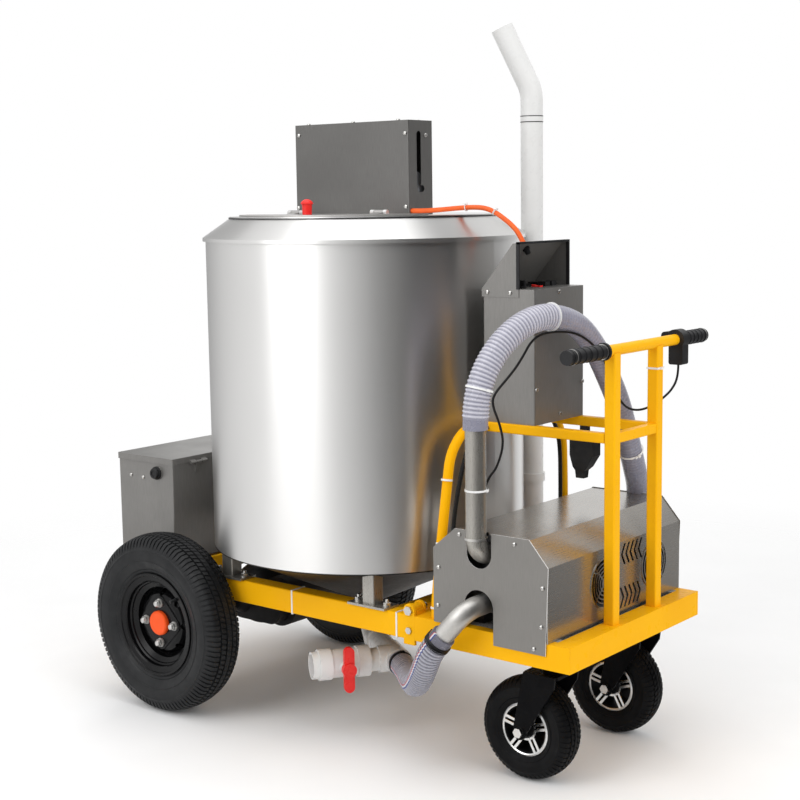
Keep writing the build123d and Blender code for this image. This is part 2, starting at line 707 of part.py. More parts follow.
left_stay = [(stay_x, -rail_y, rail_top), (stay_x, -rail_y, 430.0), (stay_x, -266.0, 600.0),
             (stay_x, -228.0, 800.0), (stay_x, -170.0, shelf_z), (stay_x, shelf_near - shelf_w / 2, shelf_z)]
right_stay = [(stay_x, rail_y, rail_top), (stay_x, rail_y, 430.0), (stay_x, 298.0, 600.0),
              (stay_x, 292.0, 780.0), (stay_x, 240.0, shelf_z), (stay_x, shelf_far + shelf_w / 2, shelf_z)]
with BuildPart() as stay_tubes:
    for route in (left_stay, right_stay):
        round_pipe(route, bend_radii(route), stay_r, stay_r - 2.0)
finish(stay_tubes, "stay_tubes")

# Control box with its sloping hood, selector knob and rocker switch
with BuildPart() as control_box:
    mid_x = (box_x0 + box_x1) / 2
    mid_y = (box_y0 + box_y1) / 2
    with BuildSketch(xy(shelf_top)):
        with Locations((mid_x, mid_y)):
            RectangleRounded(box_x1 - box_x0, box_y1 - box_y0, 4.0)
    extrude(amount=box_top - shelf_top)
    with BuildSketch(xy(shelf_top + 2.0)):
        with Locations((mid_x, mid_y)):
            Rectangle(box_x1 - box_x0 - 4.0, box_y1 - box_y0 - 4.0)
    extrude(amount=box_top - shelf_top - 4.0, mode=Mode.SUBTRACT)
    disc(xy(box_top - 4.0), 4.06, 10.0, at=(490.0, -45.0), mode=Mode.SUBTRACT)
    with BuildSketch(xy(box_top - 4.0)):
        with Locations((490.0, 25.0)):
            Rectangle(30.0, 15.0)
    extrude(amount=10.0, mode=Mode.SUBTRACT)
    disc(xz(25.0 + 11.0), 1.95, 22.0, at=(490.0, box_top - 2.5))
finish(control_box, "control_box")

hood_side = [(397.0, 1188.0), (397.0, 1208.0), (493.0, 1323.0), (511.0, 1325.0), (511.0, 1188.0)]
hood_entry = Vector(482.0, -15.0, 1309.9)
lead_drop = Vector(0.475, 0.0, -0.88).normalized()
with BuildPart() as control_hood:
    for face_y in (box_y0 - 0.2, box_y1 + 1.7):
        with BuildSketch(xz(face_y)):
            polygon(*hood_side)
        extrude(amount=1.5)
    with BuildSketch(xz(box_y1 + 0.2)):
        polygon((397.0, 1206.5), (397.0, 1208.5), (493.0, 1323.0), (511.0, 1325.0), (511.0, 1323.5),
                (493.8, 1321.5), (398.5, 1207.5))
    extrude(amount=box_y1 - box_y0 + 0.4)
    with BuildSketch(xz(box_y1 + 0.2)):
        polygon((396.5, 1190.0), (399.7, 1190.0), (399.7, 1208.0), (396.5, 1208.0))
    extrude(amount=box_y1 - box_y0 + 0.4)
    disc(Plane(hood_entry - lead_drop * 12.0, z_dir=lead_drop), 7.0, 24.0, mode=Mode.SUBTRACT)
finish(control_hood, "control_hood")

with BuildPart() as mode_knob:
    disc(xy(box_top - 14.0), 4.0, 16.0, at=(490.0, -45.0))
    disc(xy(box_top + 1.0), 12.0, 5.0, at=(490.0, -45.0))
    with BuildSketch(xy(box_top + 6.0)):
        with Locations((490.0, -45.0)):
            SlotOverall(24.0, 9.0)
    extrude(amount=14.0)
finish(mode_knob, "mode_knob")

with BuildPart() as rocker_switch:
    with BuildSketch(xz(25.0 + 6.5)):
        polygon((477.0, box_top + 1.0), (477.0, box_top + 6.0), (490.0, box_top + 3.0),
                (503.0, box_top + 3.5), (503.0, box_top - 1.0), (490.0, box_top - 12.0))
    extrude(amount=13.0)
    disc(xz(25.0 + 6.5), 2.0, 13.0, at=(490.0, box_top - 2.5), mode=Mode.SUBTRACT)
finish(rocker_switch, "rocker_switch")

# Pump cover: folded sheet with fan openings and chevron vents
cover_outline = [(cover_x0, rail_top), (cover_x0, 580.0), (479.0, cover_top), (695.0, cover_top),
                 (cover_x1, 574.0), (cover_x1, rail_top)]
with BuildPart() as pump_cover:
    with BuildSketch(xz(cover_y)):
        polygon(*cover_outline)
        offset(amount=-2.0, mode=Mode.SUBTRACT)
    extrude(amount=2 * cover_y)
    with BuildSketch(xz(cover_y)):
        with Locations(((cover_x0 + cover_x1) / 2, rail_top)):
            Rectangle(cover_x1 - cover_x0 - 4.0, 20.0)
    extrude(amount=2 * cover_y, mode=Mode.SUBTRACT)
    with BuildSketch(yz(cover_x1 - 10.0)):
        for fan_y in fan_ys:
            with Locations((fan_y, fan_z)):
                Circle(fan_r)
        for row_z, point in ((541.0, -1), (430.0, 1)):
            for slot in range(5):
                tip = 66.0 + (slot - 2) * 21.0 + point * 9.0
                polygon((tip, row_z), (tip - point * 15.0, row_z + 27.0), (tip - point * 24.0, row_z + 27.0),
                        (tip - point * 9.0, row_z), (tip - point * 24.0, row_z - 27.0),
                        (tip - point * 15.0, row_z - 27.0))
    extrude(amount=20.0, mode=Mode.SUBTRACT)
    with BuildSketch(xy(cover_top - 20.0)):
        with Locations((port_x, riser_y)):
            Circle(32.0)
    extrude(amount=30.0, mode=Mode.SUBTRACT)
finish(pump_cover, "pump_cover")

plate_outline = [(411.0, rail_top), (411.0, 581.0), (478.0, 637.0), (696.0, 637.0), (750.0, 575.0),
                 (742.0, 361.0), (592.0, 361.0), (592.0, rail_top)]
with BuildPart() as cover_end_plates:
    for face_y in (-cover_y, cover_y + 2.0):
        with BuildSketch(xz(face_y)):
            polygon(*plate_outline)
            if face_y < 0:
                with Locations((port_x - 2.0, 448.0)):
                    Circle(44.0, mode=Mode.SUBTRACT)
                with Locations((port_x - 2.0, 398.0)):
                    Rectangle(88.0, 100.0, mode=Mode.SUBTRACT)
                with Locations((port_x, 583.0)):
                    Circle(37.0, mode=Mode.SUBTRACT)
                with Locations((port_x, 633.0)):
                    Rectangle(74.0, 100.0, mode=Mode.SUBTRACT)
        extrude(amount=2.0)
finish(cover_end_plates, "cover_end_plates")

with BuildPart() as fan_guards:
    for fan_y in fan_ys:
        with BuildSketch(yz(cover_x1)):
            with Locations((fan_y, fan_z)):
                for ring in (64.0, 53.0, 43.0, 33.0, 23.0):
                    Circle(ring)
                    Circle(ring - 3.2, mode=Mode.SUBTRACT)
                Circle(13.0)
                with PolarLocations(37.0, 4, start_angle=45.0):
                    Rectangle(52.0, 3.5)
        extrude(amount=2.5)
        disc(yz(cover_x1 - 20.0), 4.0, 21.0, at=(fan_y, fan_z))
finish(fan_guards, "fan_guards")


def cooling_fan(fan_y, name):
    hub = Plane((cover_x1 - 24.0, fan_y, fan_z), x_dir=(0, 1, 0), z_dir=(1, 0, 0))
    with BuildPart() as fan:
        disc(hub, 17.0, 20.0)
        with Locations(hub.offset(10.0)):
            with PolarLocations(33.0, 7):
                with Locations(Location((0, 0, 0), (38.0, 0, 0))):
                    Box(40.0, 20.0, 2.0)
        disc(hub, 4.05, 20.0, mode=Mode.SUBTRACT)
        disc(hub.offset(20.0), 60.0, 20.0, mode=Mode.SUBTRACT)
    finish(fan, name)


cooling_fan(fan_ys[0], "left_fan")
cooling_fan(fan_ys[1], "right_fan")

# Lobe pump: body with both ports on its front cover, two meshing rotors and the gear motor
rotor_xs = (port_x - rotor_gap / 2, port_x + rotor_gap / 2)
lobe_r = 0.75 * rotor_gap
with BuildPart() as pump_body:
    with BuildSketch(xz(-130.0)):
        with Locations((port_x, rotor_z)):
            RectangleRounded(204.0, 196.0, 30.0)
    extrude(amount=-130.0 - pump_face_y)
    with BuildSketch(xz(-148.0)):
        for rotor_x in rotor_xs:
            with Locations((rotor_x, rotor_z)):
                Circle(lobe_r + 0.8)
        with Locations((port_x, rotor_z)):
            SlotCenterToCenter(outlet_z - inlet_z, 44.0, rotation=90)
    extrude(amount=92.0, mode=Mode.SUBTRACT)
    for port_z in (inlet_z, outlet_z):
        disc(xz(-200.0), 22.0, 60.0, at=(port_x, port_z), mode=Mode.SUBTRACT)
    disc(xz(-120.0), 10.05, 40.0, at=(rotor_xs[0], rotor_z), mode=Mode.SUBTRACT)
    disc(xz(-135.0), 10.05, 20.0, at=(rotor_xs[1], rotor_z), mode=Mode.SUBTRACT)
    for foot in (-1, 1):
        with BuildSketch(xy(rail_top - 9.0)):
            with Locations((port_x + foot * 70.0, -190.0)):
                Rectangle(50.0, 100.0)
        extrude(amount=rotor_z - 97.0 - rail_top + 9.0)
finish(pump_body, "pump_body")


def lobe_point(turn, clearance):
    """Point of a two-lobed rotor: epicycloid lobes and hypocycloid waists, drawn in by a clearance."""
    pitch = rotor_gap / 2
    roll = pitch / 4
    if cos(2 * turn) >= 0:
        outer = pitch + roll
        point = Vector(outer * cos(turn) + roll * cos(5 * turn), outer * sin(turn) + roll * sin(5 * turn))
        tangent = Vector(-sin(turn) - sin(5 * turn), cos(turn) + cos(5 * turn))
    else:
        quarter = turn - pi / 2
        along = (pitch - roll) * cos(quarter) - roll * cos(3 * quarter)
        across = (pitch - roll) * sin(quarter) + roll * sin(3 * quarter)
        point = Vector(-across, along)
        tangent = Vector(-cos(quarter) - cos(3 * quarter), -sin(quarter) + sin(3 * quarter))
    inward = Vector(-tangent.Y, tangent.X).normalized()
    return point + inward * clearance


def lobe_rotor(rotor_x, turn, shaft_end, name):
    face = Plane((rotor_x, -149.0, rotor_z), x_dir=(1, 0, 0), z_dir=(0, -1, 0))
    turned = Plane(face.origin, x_dir=(cos(radians(turn)), 0, sin(radians(turn))), z_dir=(0, -1, 0))
    with BuildPart() as rotor:
        with BuildSketch(turned):
            with BuildLine():
                Spline(*[lobe_point((step + 0.5) * pi / 20, 0.7) for step in range(40)], periodic=True)
            make_face()
        extrude(amount=90.0)
        disc(face, 10.0, shaft_end)
    finish(rotor, name)


lobe_rotor(rotor_xs[0], 0.0, -84.0, "drive_rotor")
lobe_rotor(rotor_xs[1], 90.0, -5.0, "idler_rotor")

with BuildPart() as pump_motor:
    motor_x = rotor_xs[0]
    with BuildSketch(xz(20.0)):
        with Locations((motor_x, rotor_z)):
            RectangleRounded(130.0, 130.0, 18.0)
    extrude(amount=105.0)
    disc(xz(215.0), 58.0, 195.0, at=(motor_x, rotor_z))
    disc(xz(235.0), 50.0, 20.0, at=(motor_x, rotor_z))
    for foot_y in (-30.0, 150.0):
        with BuildSketch(xz(foot_y + 20.0)):
            with Locations((motor_x, (rotor_z + rail_top - 9.0) / 2)):
                Rectangle(90.0, rotor_z - rail_top + 9.0)
        extrude(amount=40.0)
    disc(xz(-60.0), 10.05, 40.0, at=(motor_x, rotor_z), mode=Mode.SUBTRACT)
finish(pump_motor, "pump_motor")

# Pipework: stainless riser and suction elbow
with BuildPart() as riser_pipe:
    round_pipe([(port_x, pump_face_y, outlet_z), (port_x, riser_y, outlet_z), (port_x, riser_y, riser_top)],
               [48.0], pipe_r, pipe_r - 2.0)
finish(riser_pipe, "riser_pipe")

elbow_corner = Vector(port_x, -376.0, inlet_z)
suction_top = Vector(490.0, -385.0, 384.0)
with BuildPart() as inlet_elbow:
    round_pipe([(port_x, pump_face_y, inlet_z), elbow_corner, suction_top], [46.0], pipe_r, pipe_r - 2.0)
finish(inlet_elbow, "inlet_elbow")

# Tank outlet: elbow and pipe to a tee, whose side branch holds the drain valve
run_dir = Vector(0.82, -0.572, 0).normalized()
branch_dir = Vector(-0.572, -0.82, 0).normalized()
tank_foot = Vector(tank_x, 0, outlet_axis_z)
tee = tank_foot + run_dir * 247.5
run_end = tee + run_dir * 45.0
branch_end = tee + branch_dir * 76.0
with BuildPart() as outlet_pipe:
    line = [Vector(tank_x, 0, 265.0), tank_foot, run_end]
    round_pipe(line, [46.0], pvc_r, 0)
    round_pipe([tee, branch_end], [], pvc_r, 0)
    disc(Plane(tank_foot + run_dir * 50.0, z_dir=run_dir), pvc_r + 5.0, 34.0)
    disc(Plane(tee - run_dir * 48.0, z_dir=run_dir), pvc_r + 5.0, 93.0)
    disc(Plane(tee + branch_dir * 10.0, z_dir=branch_dir), pvc_r + 5.0, 40.0)
    disc(Plane((tank_x, 0, 252.0)), pvc_r + 5.0, 13.0)
    with BuildLine(mode=Mode.PRIVATE) as bore_line:
        FilletPolyline(*line, radius=46.0)
    bore = bore_line.wires()[0]
    with BuildSketch(Plane(origin=bore @ 0, z_dir=bore % 0)):
        Circle(pvc_bore)
    sweep(path=bore, mode=Mode.SUBTRACT)
    disc(Plane(tee, z_dir=branch_dir), pvc_bore, 80.0, mode=Mode.SUBTRACT)
finish(outlet_pipe, "outlet_pipe")

valve_centre = tee + branch_dir * 146.0
valve_frame = Plane(valve_centre, x_dir=(0, 0, 1), z_dir=branch_dir)
stem_frame = Plane(valve_centre, x_dir=(0, 0, 1), z_dir=run_dir)
with BuildPart() as valve_body:
    disc(valve_frame.offset(-70.0), 42.0, 34.0)
    disc(valve_frame.offset(-36.0), 38.0, 72.0)
    disc(valve_frame.offset(36.0), 42.0, 34.0)
    disc(valve_frame.offset(70.0), 36.5, 18.0)
    disc(stem_frame.offset(20.0), 17.0, 36.0)
    disc(valve_frame.offset(-71.0), pvc_bore - 3.0, 160.0, mode=Mode.SUBTRACT)
    disc(valve_frame.offset(58.0), pvc_r + 0.1, 31.0, mode=Mode.SUBTRACT)
    with Locations(valve_frame):
        Sphere(32.5, mode=Mode.SUBTRACT)
    disc(stem_frame, 9.05, 60.0, mode=Mode.SUBTRACT)
finish(valve_body, "valve_body")

with BuildPart() as valve_lever:
    with Locations(stem_frame):
        Sphere(32.0)
    disc(Plane(valve_centre, z_dir=(0, 0, 1)).offset(-40.0), 22.0, 80.0, mode=Mode.SUBTRACT)
    disc(stem_frame.offset(24.0), 9.0, 36.0)
    disc(stem_frame.offset(57.0), 19.0, 20.0)
    with BuildSketch(stem_frame.offset(58.0)):
        SlotOverall(124.0, 28.0)
    extrude(amount=14.0)
finish(valve_lever, "valve_lever")

# Discharge standpipe with its pipe clips, and the spout that swivels on its neck
with BuildPart() as standpipe:
    foot = [(stand_x + 80.0, stand_y, stand_foot_z), (stand_x, stand_y, stand_foot_z),
            (stand_x, stand_y, swivel_z)]
    round_pipe(foot, [45.0], pvc_r, 0)
    disc(yz(stand_x + 48.0), pvc_r + 5.0, 32.0, at=(stand_y, stand_foot_z))
    disc(xy(stand_foot_z + 48.0), pvc_r + 5.0, 40.0, at=(stand_x, stand_y))
    disc(xy(swivel_z), pvc_bore - 0.5, 45.0, at=(stand_x, stand_y))
    with BuildLine(mode=Mode.PRIVATE) as bore_line:
        FilletPolyline(*foot[:2], (stand_x, stand_y, swivel_z + 50.0), radius=45.0)
    bore = bore_line.wires()[0]
    with BuildSketch(Plane(origin=bore @ 0, z_dir=bore % 0)):
        Circle(pvc_bore - 4.0)
    sweep(path=bore, mode=Mode.SUBTRACT)
    clip_turn = atan2(stand_y, stand_x - tank_x)
    clip = Plane((tank_x, 0, 1040.0), x_dir=(cos(clip_turn), sin(clip_turn), 0), z_dir=(0, 0, 1))
    for height in (0.0, -420.0):
        with BuildSketch(clip.offset(height)):
            with Locations((455.0, 0)):
                Rectangle(36.0, 26.0)
            with Locations((Vector(stand_x - tank_x, stand_y).length, 0)):
                Circle(pvc_r + 5.0)
                Circle(pvc_r - 1.0, mode=Mode.SUBTRACT)
            Circle(tank_r + 0.1, mode=Mode.SUBTRACT)
        extrude(amount=24.0)
finish(standpipe, "standpipe")

spout_bend = (stand_x, stand_y, 1732.0)
spout_end = (stand_x - 65.0, stand_y - 52.0, 1907.0)
with BuildPart() as spout:
    round_pipe([(stand_x, stand_y, swivel_z + 7.0), spout_bend, spout_end], [120.0], pvc_r, 0)
    with BuildLine(mode=Mode.PRIVATE) as bore_line:
        FilletPolyline((stand_x, stand_y, swivel_z), spout_bend, spout_end, radius=120.0)
    bore = bore_line.wires()[0]
    with BuildSketch(Plane(origin=bore @ 0, z_dir=bore % 0)):
        Circle(pvc_bore - 0.45)
    sweep(path=bore, mode=Mode.SUBTRACT)
finish(spout, "spout")

# Hoses: clear ribbed hose, as stacked ribs along a route of straight runs and arcs
delivery_route = [(port_x, riser_y, riser_top), (port_x, riser_y, 965.0), (566.0, -292.0, 1060.0),
                  (590.0, -215.0, 1128.0), (610.0, -120.0, 1152.0), (627.0, -10.0, 1128.0),
                  (637.0, 66.0, 1062.0),
                  (643.0, 118.0, 985.0), (646.0, 172.0, 905.0), (644.0, 214.0, 822.0), (632.0, 274.0, 730.0),
                  (612.0, 340.0, 645.0), (578.0, 388.0, 560.0), (520.0, 404.0, 486.0), (450.0, 392.0, 432.0),
                  (388.0, stand_y, stand_foot_z), (stand_x + 80.0, stand_y, stand_foot_z)]
suction_lead = suction_top + (suction_top - elbow_corner).normalized() * 58.0
suction_route = [suction_top, suction_lead, (423.0, -376.0, 288.0), (380.0, -345.0, 238.0),
                 (330.0, -299.0, 203.0), (274.0, -243.0, 190.0), run_end + run_dir * 56.0, run_end]
rib_pitch = 16.0
rib_rise = 1.6


def ribbed_hose(route, name):
    radii = bend_radii(route)
    with BuildLine(mode=Mode.PRIVATE) as path:
        FilletPolyline(*route, radius=radii)
    line = path.wires()[0]
    print(name, "length", round(line.length), "radii", [round(radius) for radius in radii])
    ribs = round((line.length - 4 * hose_r) / rib_pitch)
    plain = (line.length - ribs * rib_pitch) / 2
    stations = [(0.0, hose_r - rib_rise)]
    for rib in range(ribs):
        start = plain + rib * rib_pitch
        stations += [(start, hose_r - rib_rise), (start + 0.3 * rib_pitch, hose_r),
                     (start + 0.6 * rib_pitch, hose_r), (start + 0.9 * rib_pitch, hose_r - rib_rise)]
    stations.append((line.length, hose_r - rib_rise))
    steady = Vector(0.62, -0.1, 0.78) if abs((line % 0).Z) < 0.9 else Vector(1, 0, 0)
    with BuildPart() as hose:
        for at, radius in stations:
            share = at / line.length
            along = line % share
            steady = (steady - along * steady.dot(along)).normalized()
            with BuildSketch(Plane(origin=line @ share, x_dir=steady, z_dir=along)):
                Circle(radius)
        loft(ruled=True)
        with BuildSketch(Plane(origin=line @ 0, z_dir=line % 0)):
            Circle(hose_bore)
        sweep(path=line, mode=Mode.SUBTRACT)
    section = pi * ((hose_r - rib_rise / 2) ** 2 - hose_bore ** 2)
    share = hose.part.volume / section / line.length
    print(name, "ribs", ribs, "volume over section times length", round(share, 3))
    finish(hose, name)


ribbed_hose(delivery_route, "delivery_hose")
ribbed_hose(suction_route, "suction_hose")

# Leads: the orange motor lead over the tank top, the black throttle lead that follows the delivery hose down
# to the pump, and a black conduit along each stay
motor_lead = [(cover_box_x1 - 1.0, lead_y, lead_z), (172.0, -38.0, 1405.0), (226.0, -34.5, 1407.7),
              (282.0, -30.5, 1412.0), (331.0, -26.5, 1414.0), (363.0, -24.0, 1411.4), (390.0, -22.0, 1402.0),
              (416.0, -20.0, 1386.0), (442.0, -18.0, 1367.5), hood_entry - lead_drop * 40.0,
              hood_entry + lead_drop * 12.0]
throttle_lead = [(781.0, 242.0, 1005.0), (781.0, 242.0, 972.0), (774.0, 222.0, 940.0), (762.0, 190.0, 918.0),
                 (748.0, 160.0, 902.0), (728.0, 136.0, 893.0), (704.0, 122.0, 897.0), (685.0, 116.0, 915.0),
                 (675.0, 108.0, 942.0), (671.0, 90.0, 982.0), (667.0, 48.0, 1049.0), (648.0, -26.0, 1101.5),
                 (624.0, -102.0, 1110.5), (606.0, -165.0, 1102.0), (600.0, -215.0, 1044.0),
                 (596.0, -257.0, 1011.5), (590.0, -311.0, 975.0), (588.0, -316.0, 950.0),
                 (587.0, -282.0, 897.5), (580.0, -256.0, 846.0), (572.0, -275.0, 789.5), (556.0, -281.0, 770.0),
                 (548.0, -290.0, 745.0), (548.0, -299.0, 715.0), (552.0, -303.3, 680.0), (552.0, -303.3, 628.0)]
left_conduit = [(376.0, -238.0, rail_top), (376.0, -238.0, 420.0), (392.0, -234.0, 470.0),
                (397.0, -226.0, 560.0), (397.0, -212.0, 660.0), (401.0, -183.0, 760.0), (411.0, -164.0, 829.0),
                (418.0, -134.5, 852.0), (418.0, shelf_near - shelf_w / 2, 852.0)]
right_conduit = [(376.0, 262.0, rail_top), (376.0, 262.0, 420.0), (394.0, 268.0, 470.0), (402.0, 272.0, 560.0),
                 (402.0, 272.0, 660.0), (402.0, 270.0, 745.0), (406.0, 252.0, 792.0), (414.0, 222.0, 826.0),
                 (424.0, 186.0, 851.0), (424.0, shelf_far + shelf_w / 2, 851.0)]
with BuildPart() as wiring:
    for route, radius in ((motor_lead, 6.5), (throttle_lead, 3.0), (left_conduit, 6.0), (right_conduit, 6.0)):
        radii = bend_radii(route)
        lead = round_pipe(route, radii, radius, 0)
        print("lead length", round(lead.length), "radii", [round(bend) for bend in radii])
finish(wiring, "wiring")
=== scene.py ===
"""Feed cart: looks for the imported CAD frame, in metres, in the CAD's own frame."""
from functools import partialmethod
from math import cos, radians, sin, tau

import bmesh
import bpy
from mathutils import Matrix, Vector


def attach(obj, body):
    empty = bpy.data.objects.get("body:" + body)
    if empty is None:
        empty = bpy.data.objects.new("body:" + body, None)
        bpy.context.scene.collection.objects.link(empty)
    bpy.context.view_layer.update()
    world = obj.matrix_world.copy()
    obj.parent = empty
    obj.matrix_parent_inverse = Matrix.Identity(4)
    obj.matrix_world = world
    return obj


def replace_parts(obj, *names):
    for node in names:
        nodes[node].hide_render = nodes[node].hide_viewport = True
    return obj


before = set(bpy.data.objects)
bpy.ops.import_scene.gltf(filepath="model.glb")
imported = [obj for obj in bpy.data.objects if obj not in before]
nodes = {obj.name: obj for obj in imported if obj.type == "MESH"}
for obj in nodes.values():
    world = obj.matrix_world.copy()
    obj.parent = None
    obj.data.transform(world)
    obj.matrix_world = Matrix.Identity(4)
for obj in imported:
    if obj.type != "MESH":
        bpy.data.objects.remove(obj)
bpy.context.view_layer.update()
scene = bpy.context.scene

# Places and sizes shared with the CAD
TANK = Vector((-0.067, 0, 0))
AXLE, WHEEL_Y = Vector((-0.494, 0, 0.255)), 0.3975
CASTER = Vector((0.625, 0.205, 0.131))
HUB_R, LIP_R, SPOKE_FACE, SPOKE_RISE = 0.023, 0.0635, 0.0262, 0.18
POST_X, BAR_Z = 0.779, 1.07
RISER, RISER_R = Vector((0.55, -0.332, 0)), 0.0255
STAND, PVC_R = Vector((0.238, 0.378, 0)), 0.0315
RUN = Vector((0.82, -0.572, 0)).normalized()
TEE = Vector((-0.067, 0, 0.2)) + RUN * 0.2475
HOOD_ENTRY = Vector((0.482, -0.015, 1.3099))
LEAD_DROP = Vector((0.475, 0, -0.88)).normalized()
PANEL_Z = 1.209
RAIL, RAIL_HALF = Vector((0, -0.292, 0.359)), Vector((0, 0.0251, 0.0321))
SIDES = (("left", -1), ("right", 1))
FRONT, REAR, LEFT, RIGHT, TOP = (1, 0, 0), (-1, 0, 0), (0, -1, 0), (0, 1, 0), (0, 0, 1)

# Where a finish changes on a part: deck grit, dust cap, axle nuts, lip of the caster's rim
DECK_FROM, DECK_TO, DECK_HALF, DECK_Z = 0.4, 0.7575, 0.29, 0.36
CAP_FACE, NUT_FACE, LIP_FACE, LIP_FROM = 0.4178, 0.0562, 0.0301, 0.0632
# Middle of the three lines along a hose, as an angle round its wall
LINES = -2.1
# Points closer than this are one
WELD = 0.00002

# Camera at the photograph's viewing angle
camera_data = bpy.data.cameras.new("camera")
camera_data.sensor_width = 36.0
camera_data.lens = 67.08
camera_data.clip_end = 200.0
camera = bpy.data.objects.new("camera", camera_data)
# Rows: to the right, up and back towards the viewer
turn = Matrix(((0.77903, 0.62683, -0.01401), (-0.07422, 0.11439, 0.99066), (0.62258, -0.77071, 0.13564)))
camera.matrix_world = Matrix.Translation((2.62364, -3.18413, 1.44541)) @ turn.transposed().to_4x4()
scene.collection.objects.link(camera)
scene.camera = camera


# Node trees, for materials and for geometry
class Field:
    """A socket that can be added, multiplied and compared."""

    def __init__(self, graph, socket):
        self.graph = graph
        self.socket = socket

    def math(self, operation, other=0.0):
        node = self.graph.tree.nodes.new("ShaderNodeMath")
        node.operation = operation
        self.graph.feed(node.inputs[0], self)
        self.graph.feed(node.inputs[1], other)
        return Field(self.graph, node.outputs[0])

    __add__ = partialmethod(math, "ADD")
    __sub__ = partialmethod(math, "SUBTRACT")
    __mul__ = partialmethod(math, "MULTIPLY")
    __truediv__ = partialmethod(math, "DIVIDE")
    __gt__ = partialmethod(math, "GREATER_THAN")
    __lt__ = partialmethod(math, "LESS_THAN")
    size = partialmethod(math, "ABSOLUTE")


class Graph:
    """Adds nodes to a tree and feeds their sockets by name."""

    def __init__(self, tree):
        self.tree = tree

    def feed(self, socket, value):
        value = value.socket if isinstance(value, Field) else value
        if isinstance(value, bpy.types.NodeSocket):
            self.tree.links.new(value, socket)
        else:
            socket.default_value = value

    def node(self, kind, settings=None, **sockets):
        node = self.tree.nodes.new(kind)
        for key, value in (settings or {}).items():
            setattr(node, key, value)
        for key, value in sockets.items():
            self.feed(node.inputs[key.replace("_", " ")], value)
        return node

    def first(self, kind, settings=None, **sockets):
        """First output of a new node."""
        return self.node(kind, settings, **sockets).outputs[0]

    def split(self, vector):
        node = self.node("ShaderNodeSeparateXYZ", Vector=vector)
        return [Field(self, axis) for axis in node.outputs]

    def join(self, x, y, z):
        return self.first("ShaderNodeCombineXYZ", X=x, Y=y, Z=z)


class Finish(Graph):
    """A material of one Principled shader, patterned on Object coordinates."""

    def __init__(self, name):
        self.material = bpy.data.materials.new(name)
        self.material.use_nodes = True
        super().__init__(self.material.node_tree)
        self.shader = self.tree.nodes["Principled BSDF"]
        self.place = self.node("ShaderNodeTexCoord").outputs["Object"]

    def noise(self, scale, detail=3.0, stretch=(1, 1, 1), rough=0.5):
        spread = self.first("ShaderNodeMapping", Vector=self.place, Scale=stretch)
        node = self.node("ShaderNodeTexNoise", Vector=spread, Scale=scale, Detail=detail, Roughness=rough)
        return Field(self, node.outputs["Fac"])

    def ramp(self, source, *stops):
        node = self.node("ShaderNodeValToRGB", Fac=source)
        bands = node.color_ramp.elements
        while len(bands) < len(stops):
            bands.new(0.5)
        for band, (at, colour) in zip(bands, stops):
            band.position = at
            band.color = (*colour, 1)
        return node.outputs["Color"]

    def span(self, source, low, high, start=0.3, end=0.7):
        node = self.node("ShaderNodeMapRange", Value=source, From_Min=start, From_Max=end, To_Min=low,
                         To_Max=high)
        return Field(self, node.outputs["Result"])

    def mix(self, share, first, second):
        node = self.node("ShaderNodeMix", {"data_type": "RGBA"})
        for index, value in ((0, share), (6, first), (7, second)):
            self.feed(node.inputs[index], (*value, 1) if isinstance(value, tuple) else value)
        return node.outputs[2]

    def wear(self, amount):
        edge = self.node("ShaderNodeNewGeometry").outputs["Pointiness"]
        return self.span(edge, 0.0, amount, 0.5, 0.58)

    def attribute(self, name, output="Fac"):
        return self.node("ShaderNodeAttribute", {"attribute_name": name}).outputs[output]

    def surface(self, colour, rough, relief, strength, depth, edge=0.0):
        bump = self.node("ShaderNodeBump", Height=relief, Strength=strength, Distance=depth)
        if edge:
            rounded = self.first("ShaderNodeBevel", {"samples": 4}, Radius=edge)
            self.feed(bump.inputs["Normal"], rounded)
        self.set(Base_Color=colour, Roughness=rough, Normal=bump.outputs[0])

    def set(self, **values):
        for key, value in values.items():
            self.feed(self.shader.inputs[key.replace("_", " ")], value)
        return self.material


def painted(name, colour, dark, edge, rough=0.3, shine=0.25, worn=0.25, decked=False):
    """Sprayed enamel: slight tone drift, orange peel, worn edges, and grey grit on a deck."""
    m = Finish(name)
    tone = m.mix(m.wear(worn), m.ramp(m.noise(6.0, 4.0), (0.3, dark), (0.65, colour)), edge)
    gloss = m.span(m.noise(30.0, 5.0), rough - 0.06, rough + 0.1)
    if decked:
        x, y, z = m.split(m.place)
        deck = (x < DECK_TO) * (x > DECK_FROM) * (z > DECK_Z) * (y.size() < DECK_HALF)
        grit = m.ramp(m.noise(420.0, 2.0), (0.35, (0.12,) * 3), (0.65, (0.5,) * 3))
        tone, gloss = m.mix(deck, tone, grit), gloss + deck * 0.3
    m.surface(tone, gloss, m.noise(260.0, 2.0), 0.06, 0.0005, 0.0016)
    return m.set(Specular_IOR_Level=shine)


def steel(name, light, dark, rough, stretch, grain=0.05, smears=0.08, edge=0.0008, metal=1.0, clouded=0.5,
          smoke=0.85, painted_edge_highlight=None):
    """Sheet metal: fine brushing along one axis, soft smears of handling, and painted highlights on a plate's
    edges.
    """
    m = Finish(name)
    lines = m.noise(90.0, 4.0, stretch, 0.65)
    clouds = m.noise(5.0)
    tone = m.ramp(lines, (0.25, dark), (0.75, light))
    tone = m.mix(m.span(clouds, 0.0, clouded), tone, tuple(smoke * c for c in dark))
    # Painted highlight: on a plate, faces that don't face along Y are painted near white and not metallic
    if painted_edge_highlight:
        facing = m.split(m.node("ShaderNodeTexCoord").outputs["Normal"])[1]
        cut = facing.size() < 0.6
        tone, metal = m.mix(cut, tone, painted_edge_highlight), cut * -metal + metal
    gloss = m.span(lines, rough - 0.05, rough + 0.05) + m.span(clouds, -smears / 2, smears)
    m.surface(tone, gloss, lines, grain, 0.0004, edge)
    return m.set(Metallic=metal)


